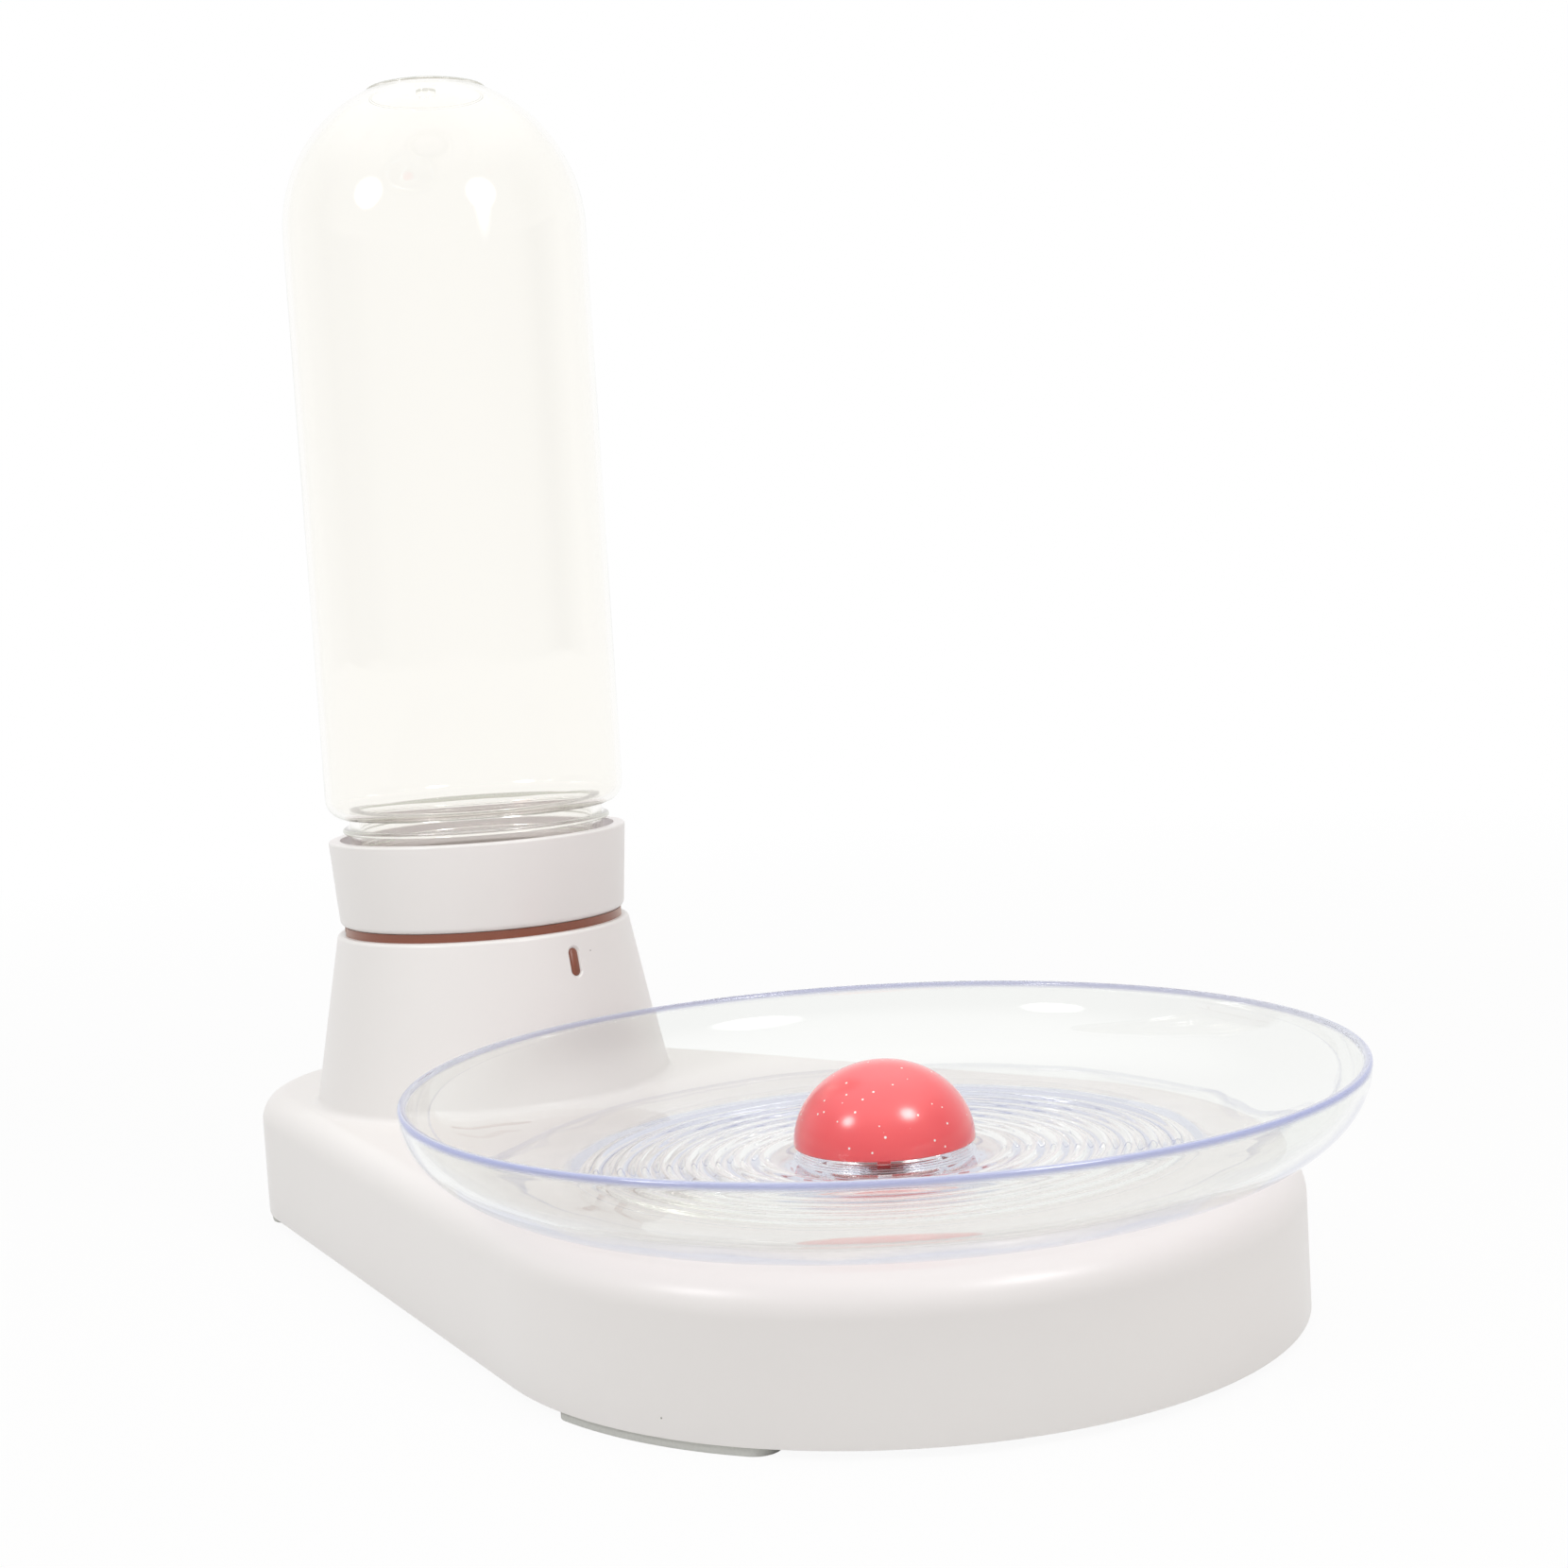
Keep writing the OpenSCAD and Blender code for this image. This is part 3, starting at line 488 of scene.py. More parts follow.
class Section:
    """Half section of a round piece: a chain of edges in the XZ plane that is spun round the Z axis."""

    def __init__(self, r: float, z: float) -> None:
        """Starts the chain.

        Args:
            r: Distance from the axis.
            z: Height.
        """
        self.mesh = bmesh.new()
        self.tip = self.mesh.verts.new((r * MM, 0, z * MM))
        self.start = self.tip

    def line(self, *stops: Pair) -> "Section":
        """Draws straight edges to each stop.

        Args:
            stops: Pairs of distance from the axis and height.

        Returns:
            The section itself.
        """
        for r, z in stops:
            self.tip = bmesh.ops.extrude_vert_indiv(self.mesh, verts=[self.tip])["verts"][0]
            self.tip.co = (r * MM, 0, z * MM)
        return self

    def arc(self, r: float, z: float, degrees: float, steps: int, wide: float = 1, tall: float = 1) -> "Section":
        """Draws an arc round a centre, and may stretch it into part of an ellipse.

        Args:
            r: Distance of the centre from the axis.
            z: Height of the centre.
            degrees: Sweep, turning left when positive.
            steps: Number of edges.
            wide: Stretch of the new points from the centre along X.
            tall: Stretch of the new points from the centre along Z.

        Returns:
            The section itself.
        """
        centre = Vector((r * MM, 0, z * MM))
        old = set(self.mesh.verts)
        swept = bmesh.ops.spin(self.mesh, geom=[self.tip], cent=centre, axis=(0, -1, 0),
                               angle=math.radians(degrees), steps=steps, use_merge=False)
        self.tip = next(g for g in swept["geom_last"] if isinstance(g, BMVert))
        fresh = [v for v in self.mesh.verts if v not in old]
        bmesh.ops.scale(self.mesh, vec=(wide, 1, tall), space=Matrix.Translation(-centre), verts=fresh)
        return self

    def close(self) -> "Section":
        """Joins the end of the chain to its start, and returns the section."""
        self.mesh.edges.new((self.tip, self.start))
        return self

    def soften(self, size: float, sharper: float = 30, segments: int = 3) -> "Section":
        """Rounds the sharp corners of a closed chain.

        Args:
            size: Length that the rounding takes from each edge.
            sharper: Turn in degrees from which a corner counts as sharp.
            segments: Edges in each rounded corner.

        Returns:
            The section itself.
        """
        bmesh.ops.contextual_create(self.mesh, geom=self.mesh.edges[:])
        corners = []
        for vert in self.mesh.verts:
            a, b = (edge.other_vert(vert).co - vert.co for edge in vert.link_edges)
            if vert.co.x > NOTHING and math.pi - a.angle(b) > math.radians(sharper):
                corners.append(vert)
        bmesh.ops.bevel(self.mesh, geom=corners, offset=size * MM, offset_type="OFFSET", affect="VERTICES",
                        segments=segments, profile=0.5, material=-1, clamp_overlap=True)
        bmesh.ops.delete(self.mesh, geom=self.mesh.faces[:], context="FACES_ONLY")
        return self

    def turn(self, y: float, steps: int) -> BMesh:
        """Spins the chain once round, and moves the shape to its axis.

        Args:
            y: Place of the axis along Y.
            steps: Number of steps round the axis.

        Returns:
            The closed shape.
        """
        bmesh.ops.spin(self.mesh, geom=self.mesh.verts[:] + self.mesh.edges[:], cent=(0, 0, 0), axis=(0, 0, 1),
                       angle=math.tau, steps=steps, use_merge=True)
        bmesh.ops.remove_doubles(self.mesh, verts=self.mesh.verts[:], dist=NOTHING)
        bmesh.ops.recalc_face_normals(self.mesh, faces=self.mesh.faces[:])
        bmesh.ops.translate(self.mesh, vec=(0, y * MM, 0), verts=self.mesh.verts[:])
        return self.mesh


def new_object(name: str, mesh: BMesh) -> Piece:
    """Makes an object of a bmesh, at the origin, and frees the bmesh.

    Args:
        name: Name of the object.
        mesh: The shape, in place.

    Returns:
        The object.
    """
    data = bpy.data.meshes.new(name)
    mesh.to_mesh(data)
    mesh.free()
    piece = bpy.data.objects.new(name, data)
    bpy.context.scene.collection.objects.link(piece)
    return piece


def smooth(piece: Piece, sharper: float = 32) -> None:
    """Shades a piece smooth, but for the edges sharper than an angle.

    Args:
        piece: The piece.
        sharper: Angle in degrees.
    """
    piece.data.polygons.foreach_set("use_smooth", [True] * len(piece.data.polygons))
    piece.data.set_sharp_from_angle(angle=math.radians(sharper))


def combine(piece: Piece, steps: list[tuple[str, list[Piece]]]) -> None:
    """Adds shapes to a piece and cuts shapes from it, in order, and deletes them.

    Args:
        piece: The piece that is shaped.
        steps: Pairs of UNION or DIFFERENCE and the shapes that it takes.
    """
    for operation, tools in steps:
        for tool in tools:
            change = piece.modifiers.new(operation, "BOOLEAN")
            change.operation, change.object, change.solver = operation, tool, "EXACT"
    graph = bpy.context.evaluated_depsgraph_get()
    shaped = bpy.data.meshes.new_from_object(piece.evaluated_get(graph))
    piece.modifiers.clear()
    shaped.name = piece.data.name
    piece.data = shaped
    for _, tools in steps:
        for tool in tools:
            bpy.data.objects.remove(tool)


def dress(piece: Piece, body: Body, slot: Slot, finish: bpy.types.Material, *nodes: str) -> None:
    """Gives a piece its finish and its body, and hides the CAD nodes that it stands for.

    Args:
        piece: The piece.
        body: Body that it moves with.
        slot: The record's slot; not used.
        finish: Its material.
        nodes: CAD nodes that it replaces.
    """
    piece.data.materials.append(finish)
    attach(piece, body.value)
    if nodes:
        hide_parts(*nodes)
    log.info("%s: %d faces in %s", piece.name, len(piece.data.polygons), finish.name)


@dataclass
class Bottle:
    """Clear bottle, neck down: a round end with the marks of its mould, a shoulder and a threaded neck."""

    radius: float = 32.75
    wall: float = 1.2
    shoulder: float = 4.5
    shoulder_z: float = 90.4
    dome_z: float = 216.85
    neck: float = 27.8
    neck_wall: float = 2.2
    thread: float = 1.6
    thread_width: float = 1.2
    pitch: float = 4
    turns: int = 4
    first_turn_z: float = 75.1
    loops_z: tuple[float, ...] = (120, 150, 180, 200)
    ring: float = 12.6
    ring_height: float = 0.4
    flat: float = 0.7
    nub: float = 2.2
    around: int = 192

    def inside(self) -> Section:
        """Draws the inside, from the nub in the round end down to the lip."""
        inner = self.radius - self.wall
        bend_r, bend_z = self.radius - self.shoulder, self.shoulder_z + self.shoulder
        under = self.dome_z + inner - self.flat
        nub_z = under - self.wall
        flat_r = math.sqrt(inner**2 - (inner - self.flat)**2)
        section = Section(0, nub_z).line((self.nub, nub_z), (self.nub, under), (flat_r, under))
        section.arc(0, self.dome_z, -math.degrees(math.acos(flat_r / inner)), 30)
        section.line(*((inner, z) for z in (*reversed(self.loops_z), bend_z))).arc(bend_r, bend_z, -90, 10)
        bore = self.neck - self.neck_wall
        return section.line((bore, self.shoulder_z + self.wall), (bore, LAYOUT.lip_z))

    def build(self) -> Piece:
        """Returns the bottle as a closed clear wall."""
        bend_r, bend_z = self.radius - self.shoulder, self.shoulder_z + self.shoulder
        crest = self.neck + self.thread - self.thread_width / 2
        section = self.inside().line((self.neck, LAYOUT.lip_z))
        for turn in range(self.turns):
            low = self.first_turn_z + turn * self.pitch
            section.line((self.neck, low), (crest, low)).arc(crest, low + self.thread_width / 2, 180, 8)
            section.line((self.neck, low + self.thread_width))
        section.line((self.neck, self.shoulder_z), (bend_r, self.shoulder_z)).arc(bend_r, bend_z, 90, 12)
        section.line(*((self.radius, z) for z in (*self.loops_z, self.dome_z)))
        # The raised ring stands across the round end, so the arc stops on each side of it
        reach = math.degrees(self.ring_height / self.radius)
        ring_at = math.degrees(math.acos(self.ring / self.radius))
        flat_r = math.sqrt(self.radius**2 - (self.radius - self.flat)**2)
        flat_at = math.degrees(math.acos(flat_r / self.radius))
        ring_z = self.dome_z + math.sqrt(self.radius**2 - self.ring**2)
        section.arc(0, self.dome_z, ring_at - reach, 26).arc(self.ring, ring_z, 180, 8)
        section.arc(0, self.dome_z, flat_at - ring_at - reach, 5)
        section.line((0, self.dome_z + self.radius - self.flat))
        piece = new_object("bottle_wall", section.turn(LAYOUT.tower_y, self.around))
        smooth(piece, sharper=50)
        return piece


@dataclass
class BottleCap:
    """White cap of the bottle: a leaning collar, a deck, a plug with two locking lugs and the valve's snout."""

    low_z: float = 66.9
    top_z: float = 85.7
    foot: float = 31.3
    top: float = 32.7
    foot_edge: float = 1.5
    top_edge: float = 0.5
    bore: float = 30.2
    deck_z: float = 69.1
    deck_top_z: float = 71.6
    plug: float = 28.4
    plug_wall: float = 2
    plug_z: float = 55.5
    snout: float = 9
    snout_wall: float = 1.6
    snout_z: float = 40.7
    seat: float = 1.6
    seat_hole: float = 4.2
    thread: float = 1.6
    thread_width: float = 1.2
    thread_z: Pair = (77.1, 81.1)
    lug_z: float = 57.5
    lug_height: float = 2.4
    lug_radius: float = 29.8
    lug_angle: float = 12
    around: int = 192

    def build(self) -> Piece:
        """Returns the cap as a closed shape."""
        lean = math.atan((self.top - self.foot) / (self.top_z - self.low_z))
        sweep = 90 - math.degrees(lean)
        slant, stretch = math.tan(lean), 1 / math.cos(lean)
        low = Vector((self.foot + self.foot_edge * (slant - stretch), self.low_z + self.foot_edge))
        high = Vector((self.top - self.top_edge * (slant + stretch), self.top_z - self.top_edge))
        out = Vector((math.cos(lean), -math.sin(lean)))
        section = Section(self.seat_hole, self.snout_z).line(
            (self.snout, self.snout_z), (self.snout, self.deck_z), (self.plug - self.plug_wall, self.deck_z),
            (self.plug - self.plug_wall, self.plug_z), (self.plug, self.plug_z), (self.plug, self.low_z),
            (low.x, self.low_z)).arc(low.x, low.y, sweep, 10)
        section.line(high + self.top_edge * out).arc(high.x, high.y, 180 - sweep, 6).line((self.bore, self.top_z))
        for z in reversed(self.thread_z):
            section.line((self.bore, z + self.thread_width), (self.bore - self.thread, z + self.thread_width),
                         (self.bore - self.thread, z), (self.bore, z))
        wall = self.snout - self.snout_wall
        section.line((self.bore, self.deck_top_z), (wall, self.deck_top_z), (wall, self.snout_z + self.seat),
                     (self.seat_hole, self.snout_z + self.seat))
        piece = new_object("bottle_collar", section.close().turn(LAYOUT.tower_y, self.around))
        combine(piece, [("UNION", [self.lug(side) for side in (0, 180)])])
        smooth(piece)
        return piece

    def lug(self, at: float) -> Piece:
        """Builds one locking lug of the plug.

        Args:
            at: Its place round the axis in degrees.

        Returns:
            The lug, a little way into the plug's wall.
        """
        inner = self.plug - self.plug_wall / 2
        mesh = bmesh.new()
        ring = [mesh.verts.new((r * MM, 0, z * MM)) for r, z in (
            (inner, self.lug_z), (self.lug_radius, self.lug_z), (self.lug_radius, self.lug_z + self.lug_height),
            (inner, self.lug_z + self.lug_height))]
        face = bmesh.ops.contextual_create(mesh, geom=ring)["faces"]
        bmesh.ops.rotate(mesh, cent=(0, 0, 0), matrix=Matrix.Rotation(math.radians(at - self.lug_angle / 2), 3, "Z"),
                         verts=ring)
        bmesh.ops.spin(mesh, geom=face, cent=(0, 0, 0), axis=(0, 0, 1), angle=math.radians(self.lug_angle), steps=6)
        bmesh.ops.recalc_face_normals(mesh, faces=mesh.faces[:])
        bmesh.ops.translate(mesh, vec=(0, LAYOUT.tower_y * MM, 0), verts=mesh.verts[:])
        return new_object("lug", mesh)


@dataclass
class Bowl:
    """Clear bowl: a rippled floor, a round wall up to a bead, a spigot below and the boss that takes the dome."""

    rim: float = 88.1
    low_z: float = 28.16
    edge_z: float = 46.1
    floor: float = 61
    wall: float = 1.6
    corner: float = 0.3
    foot: float = 58
    foot_height: float = 0.24
    spigot: float = 4.9
    spigot_bore: float = 3.4
    spigot_z: float = 24.5
    ripples: int = 8
    first_ripple: float = 23
    ripple_pitch: float = 4.5
    ripple_height: float = 0.5
    boss_foot: float = 16.9
    boss_top: float = 15.5
    boss_bore: float = 13
    boss_z: float = 31.9
    boss_lines: int = 4
    boss_line: float = 0.12
    boss_line_side: float = 0.2
    notches: int = 8
    notch_width: float = 2.4
    notch_height: float = 1
    around: int = 224

    def floor_section(self, section: Section) -> Section:
        """Draws the floor from the wall in to the spigot, with the ripples and the boss.

        Args:
            section: Chain whose tip is at the foot of the inner wall.

        Returns:
            The same chain, at the top of the spigot's bore.
        """
        floor_z = LAYOUT.bowl_floor_z
        quarter = self.ripple_pitch / 4
        radius = (quarter**2 + (self.ripple_height / 2)**2) / self.ripple_height
        slope = math.degrees(math.asin(quarter / radius))
        # The ripples are a wave: half a hollow, then a crest and a hollow for each ring, and half a hollow
        r = self.first_ripple + (self.ripples - 0.5) * self.ripple_pitch
        section.line((r, floor_z)).arc(r, floor_z + radius, -slope, 4)
        for ripple in reversed(range(self.ripples)):
            r = self.first_ripple + ripple * self.ripple_pitch
            section.arc(r, floor_z + self.ripple_height - radius, 2 * slope, 8)
            last = ripple == 0
            section.arc(r - self.ripple_pitch / 2, floor_z + radius, -slope if last else -2 * slope, 4 if last else 8)
        section.line((self.boss_foot, floor_z))
        # Fine moulded lines run round the boss's cone
        step = Vector((self.boss_top - self.boss_foot, self.boss_z - floor_z)) / (self.boss_lines + 1)
        for turn in range(1, self.boss_lines + 1):
            spot = Vector((self.boss_foot, floor_z)) + turn * step
            side = self.boss_line_side * step
            section.line(spot - side, spot + Vector((self.boss_line, 0)), spot + side)
        return section.line((self.boss_top, self.boss_z), (self.boss_bore, self.boss_z),
                            (self.boss_bore, floor_z), (self.spigot_bore, floor_z))

    def build(self) -> Piece:
        """Returns the bowl as a closed clear wall."""
        under = self.low_z + self.foot_height
        rise, run = self.edge_z - self.low_z, self.rim - self.floor
        bead = self.rim - self.wall / 2
        section = Section(self.spigot_bore, self.spigot_z).line(
            (self.spigot, self.spigot_z), (self.spigot, under), (self.foot, under), (self.foot, self.low_z),
            (self.floor, self.low_z))
        section.arc(self.floor, self.edge_z, 90, 28, wide=run / rise).arc(bead, self.edge_z, 180, 10)
        inner_run, inner_rise = run - self.wall, self.edge_z - LAYOUT.bowl_floor_z
        section.arc(self.floor, self.edge_z, -90, 28, tall=inner_rise / inner_run)
        section = self.floor_section(section).close().soften(self.corner, sharper=40)
        piece = new_object("bowl_wall", section.turn(LAYOUT.bowl_y, self.around))
        combine(piece, [("DIFFERENCE", [self.notch(360 * i / self.notches) for i in range(self.notches)])])
        smooth(piece, sharper=50)
        return piece

    def notch(self, turn: float) -> Piece:
        """Builds the block that cuts one water notch in the boss.

        Args:
            turn: Its place round the axis in degrees.

        Returns:
            The block.
        """
        mesh = bmesh.new()
        bmesh.ops.create_cube(mesh, size=MM)
        bmesh.ops.scale(mesh, vec=(self.boss_foot - self.boss_bore + 2 * PAST, self.notch_width,
                                   2 * self.notch_height), verts=mesh.verts[:])
        middle = (self.boss_bore + self.boss_foot) / 2
        bmesh.ops.translate(mesh, vec=Vector((middle, 0, self.boss_z)) * MM, verts=mesh.verts[:])
        bmesh.ops.rotate(mesh, cent=(0, 0, 0), matrix=Matrix.Rotation(math.radians(turn), 3, "Z"),
                         verts=mesh.verts[:])
        bmesh.ops.translate(mesh, vec=(0, LAYOUT.bowl_y * MM, 0), verts=mesh.verts[:])
        return new_object("notch", mesh)


@dataclass
class DomeCap:
    """Coral dome over the boss: a hollow half ellipse with a floor and a skirt that turns in the boss."""

    radius: float = 16.8
    height: float = 15
    edge: float = 0.3
    wall: float = 1.6
    skirt: float = 12.92
    skirt_wall: float = 1.4
    skirt_z: float = 30.6
    around: int = 160

    def build(self) -> Piece:
        """Returns the dome as a closed shape."""
        z = LAYOUT.dome_z
        run, rise = self.radius - self.wall, self.height - self.wall
        bore = self.skirt - self.skirt_wall
        sweep = 90 - math.degrees(math.asin(self.wall / rise))
        section = Section(0, z + rise).arc(0, z, -sweep, 24, wide=run / rise)
        section.line((bore, z + self.wall), (bore, self.skirt_z), (self.skirt, self.skirt_z), (self.skirt, z),
                     (self.radius - self.edge, z)).arc(self.radius - self.edge, z + self.edge, 90, 4)
        section.arc(0, z + self.edge, 90, 36, tall=(self.height - self.edge) / self.radius)
        piece = new_object("dome_shell", section.turn(LAYOUT.bowl_y, self.around))
        smooth(piece, sharper=40)
        return piece


@dataclass
class BaseShell:
    """Base and tower, one white moulding that is open below: two round ends with straight sides, and the tower."""

    front: float = 75.7
    back: float = 41.5
    wall: float = 2.4
    edge: float = 6
    foot: float = 39.1
    flare: float = 7
    tower_height: float = 37
    fillet: float = 2
    rim_edge: float = 1
    mouth: float = 30
    mouth_edge: float = 0.3
    mouth_depth: float = 12.4
    ledge: float = 25.5
    ledge_height: float = 2.1
    slot_width: float = 2.2
    slot_height: float = 6
    slot_drop: float = 3.4
    slot_edge: float = 0.5
    slot_depth: float = 6
    slot_around: int = 32
    tab_root: float = 3.6
    tab_depth: float = 0.3
    tab_edge: float = 0.2
    tab_play: float = 0.02
    post: float = 4
    post_bore: float = 1.25
    post_z: float = 6.6
    post_bore_top_z: float = 17.6
    front_posts: tuple[Pair, ...] = ((-42, -42), (42, -42), (-56, 30), (56, 30))
    back_posts: tuple[Pair, ...] = ((-24, 14), (24, 14))
    socket: float = 8
    socket_bore: float = 6.1
    socket_z: float = 22.4
    socket_floor_z: float = 24.1
    barb: float = 2.5
    barb_step: float = 0.3
    barb_taper: float = 0.5
    barb_head: float = 1.6
    barb_bore: float = 1.6
    barb_length: float = 5
    barb_clear_z: float = 10
    small_around: int = 48
    around: int = 192

    @property
    def lean(self) -> float:
        """Lean of the tower's side in radians."""
        return math.atan(self.flare / self.tower_height)

    def tower_radius(self, z: float) -> float:
        """Returns the outer radius of the tower at a height."""
        return self.foot - (z - LAYOUT.top_z) * self.flare / self.tower_height

    def plan(self, name: str, inset: float, low: float, high: float, edge: float) -> Piece:
        """Builds the body of the base.

        Args:
            name: Name of the object.
            inset: How far its sides are drawn in.
            low: Height of its bottom.
            high: Height of its top.
            edge: Radius of the rounding along its top.

        Returns:
            The closed body.
        """
        span = LAYOUT.back_y - LAYOUT.bowl_y
        lean = math.asin((self.front - self.back) / span)
        mesh = bmesh.new()
        tip = mesh.verts.new(((-math.cos(lean)) * (self.front - inset) * MM,
                              (LAYOUT.bowl_y + math.sin(lean) * (self.front - inset)) * MM, low * MM))
        first = tip
        for y, radius, sweep in ((LAYOUT.bowl_y, self.front - inset, math.pi + 2 * lean),
                                 (LAYOUT.back_y, self.back - inset, math.pi - 2 * lean)):
            if tip is not first:
                tip = bmesh.ops.extrude_vert_indiv(mesh, verts=[tip])["verts"][0]
                tip.co = (math.cos(lean) * radius * MM, (y + math.sin(lean) * radius) * MM, low * MM)
            swept = bmesh.ops.spin(mesh, geom=[tip], cent=(0, y * MM, low * MM), axis=(0, 0, 1), angle=sweep,
                                   steps=round(self.around * sweep / math.tau), use_merge=False)
            tip = next(g for g in swept["geom_last"] if isinstance(g, BMVert))
        mesh.edges.new((tip, first))
        floor = bmesh.ops.contextual_create(mesh, geom=mesh.edges[:])["faces"]
        raised = bmesh.ops.extrude_face_region(mesh, geom=floor, use_keep_orig=True)["geom"]
        roof = [g for g in raised if isinstance(g, BMVert)]
        bmesh.ops.translate(mesh, vec=(0, 0, (high - low) * MM), verts=roof)
        rim = [e for e in mesh.edges if all(abs(v.co.z - high * MM) < NOTHING for v in e.verts)]
        bmesh.ops.bevel(mesh, geom=rim, offset=edge * MM, offset_type="OFFSET", affect="EDGES", segments=12,
                        profile=0.5, material=-1, clamp_overlap=False)
        bmesh.ops.recalc_face_normals(mesh, faces=mesh.faces[:])
        return new_object(name, mesh)

    def tower(self) -> Piece:
        """Returns the outside of the tower, with the fillet at its foot and its rounded rim."""
        sweep = 90 - math.degrees(self.lean)
        side = Vector((math.cos(self.lean), math.sin(self.lean)))
        foot_z = LAYOUT.top_z + self.fillet
        foot = Vector((self.tower_radius(foot_z) + self.fillet / side.x, foot_z))
        rim_z = LAYOUT.tower_z - self.rim_edge
        rim = Vector((self.tower_radius(rim_z) - self.rim_edge / side.x, rim_z))
        low_z = LAYOUT.top_z - PAST
        section = Section(0, low_z).line((foot.x, low_z), (foot.x, LAYOUT.top_z))
        section.arc(foot.x, foot.y, -sweep, 8).line(rim + self.rim_edge * side).arc(rim.x, rim.y, sweep, 8)
        return new_object("tower", section.line((0, LAYOUT.tower_z)).turn(LAYOUT.tower_y, self.around))

    def bore(self) -> Piece:
        """Returns the space inside the tower: the mouth, the ledge and the room for the sump."""
        under_z, ledge_z = (LAYOUT.tower_z - self.mouth_depth - drop for drop in (self.ledge_height, 0))
        low_z, over_z = LAYOUT.top_z - self.wall - PAST, LAYOUT.tower_z + self.mouth_edge
        section = Section(0, low_z).line(
            (self.tower_radius(low_z) - self.wall, low_z), (self.tower_radius(under_z) - self.wall, under_z),
            (self.ledge, under_z), (self.ledge, ledge_z), (self.mouth, ledge_z),
            (self.mouth, LAYOUT.tower_z - self.mouth_edge), (self.mouth + 2 * self.mouth_edge, over_z), (0, over_z))
        return new_object("bore", section.turn(LAYOUT.tower_y, self.around))

    def slot_shape(self, name: str, half: float, deep: float, stops: list[Pair]) -> Piece:
        """Builds a bar with round ends that stands square on the tower's front, where the slot is.

        Args:
            name: Name of the object.
            half: Half of its width at the inner end.
            deep: Depth of the inner end under the tower's surface.
            stops: How far each next ring lies further out, and how much it grows.

        Returns:
            The closed bar.
        """
        reach = self.slot_height / 2 - self.slot_width / 2
        middle = LAYOUT.tower_z - self.slot_drop - self.slot_height / 2
        mesh = bmesh.new()
        bmesh.ops.create_circle(mesh, cap_ends=False, radius=half * MM, segments=self.slot_around,
                                matrix=Matrix.Rotation(math.pi / self.slot_around, 4, "Z"))
        for vert in mesh.verts:
            vert.co += Vector((0, math.copysign(reach, vert.co.y), -deep)) * MM
        ring = mesh.edges[:]
        for rise, grow in stops:
            out = bmesh.ops.extrude_edge_only(mesh, edges=ring)["geom"]
            ring = [g for g in out if isinstance(g, BMEdge)]
            for vert in (g for g in out if isinstance(g, BMVert)):
                spine = Vector((0, max(-reach, min(reach, vert.co.y / MM)) * MM, vert.co.z))
                vert.co += (vert.co - spine).normalized() * grow * MM + Vector((0, 0, rise * MM))
        bmesh.ops.holes_fill(mesh, edges=mesh.edges[:], sides=0)
        bmesh.ops.recalc_face_normals(mesh, faces=mesh.faces[:])
        bmesh.ops.rotate(mesh, cent=(0, 0, 0), matrix=Matrix.Rotation(math.pi / 2 - self.lean, 3, "X"),
                         verts=mesh.verts[:])
        place = Vector((0, LAYOUT.tower_y - self.tower_radius(middle), middle)) * MM
        bmesh.ops.translate(mesh, vec=place, verts=mesh.verts[:])
        return new_object(name, mesh)

    def slot(self) -> Piece:
        """Returns the slot in the tower's front, a little wider where it meets the outside."""
        return self.slot_shape("slot", self.slot_width / 2, self.slot_depth, [
            (self.slot_depth - self.slot_edge, 0), (self.slot_edge, self.slot_edge), (PAST, PAST)])

    def sleeve_tab(self) -> Piece:
        """Returns the tab of the silicone sleeve that fills the slot from behind, a brown piece that paints the
        slot's shade.
        """
        piece = self.slot_shape("sleeve_tab", self.slot_width / 2 - self.tab_play, self.tab_root, [
            (self.tab_root - self.tab_depth - self.tab_edge, 0), (self.tab_edge, -self.tab_edge)])
        smooth(piece, sharper=60)
        return piece

    def cylinder(self, x: float, y: float, radius: float, low: float, high: float) -> Piece:
        """Builds an upright cylinder.

        Args:
            x: Place of its axis along X.
            y: Place of its axis along Y.
            radius: Its radius.
            low: Height of its bottom.
            high: Height of its top.

        Returns:
            The cylinder.
        """
        mesh = bmesh.new()
        bmesh.ops.create_cone(mesh, cap_ends=True, segments=self.small_around, radius1=radius * MM,
                              radius2=radius * MM, depth=(high - low) * MM)
        bmesh.ops.translate(mesh, vec=Vector((x, y, (low + high) / 2)) * MM, verts=mesh.verts[:])
        return new_object("cylinder", mesh)

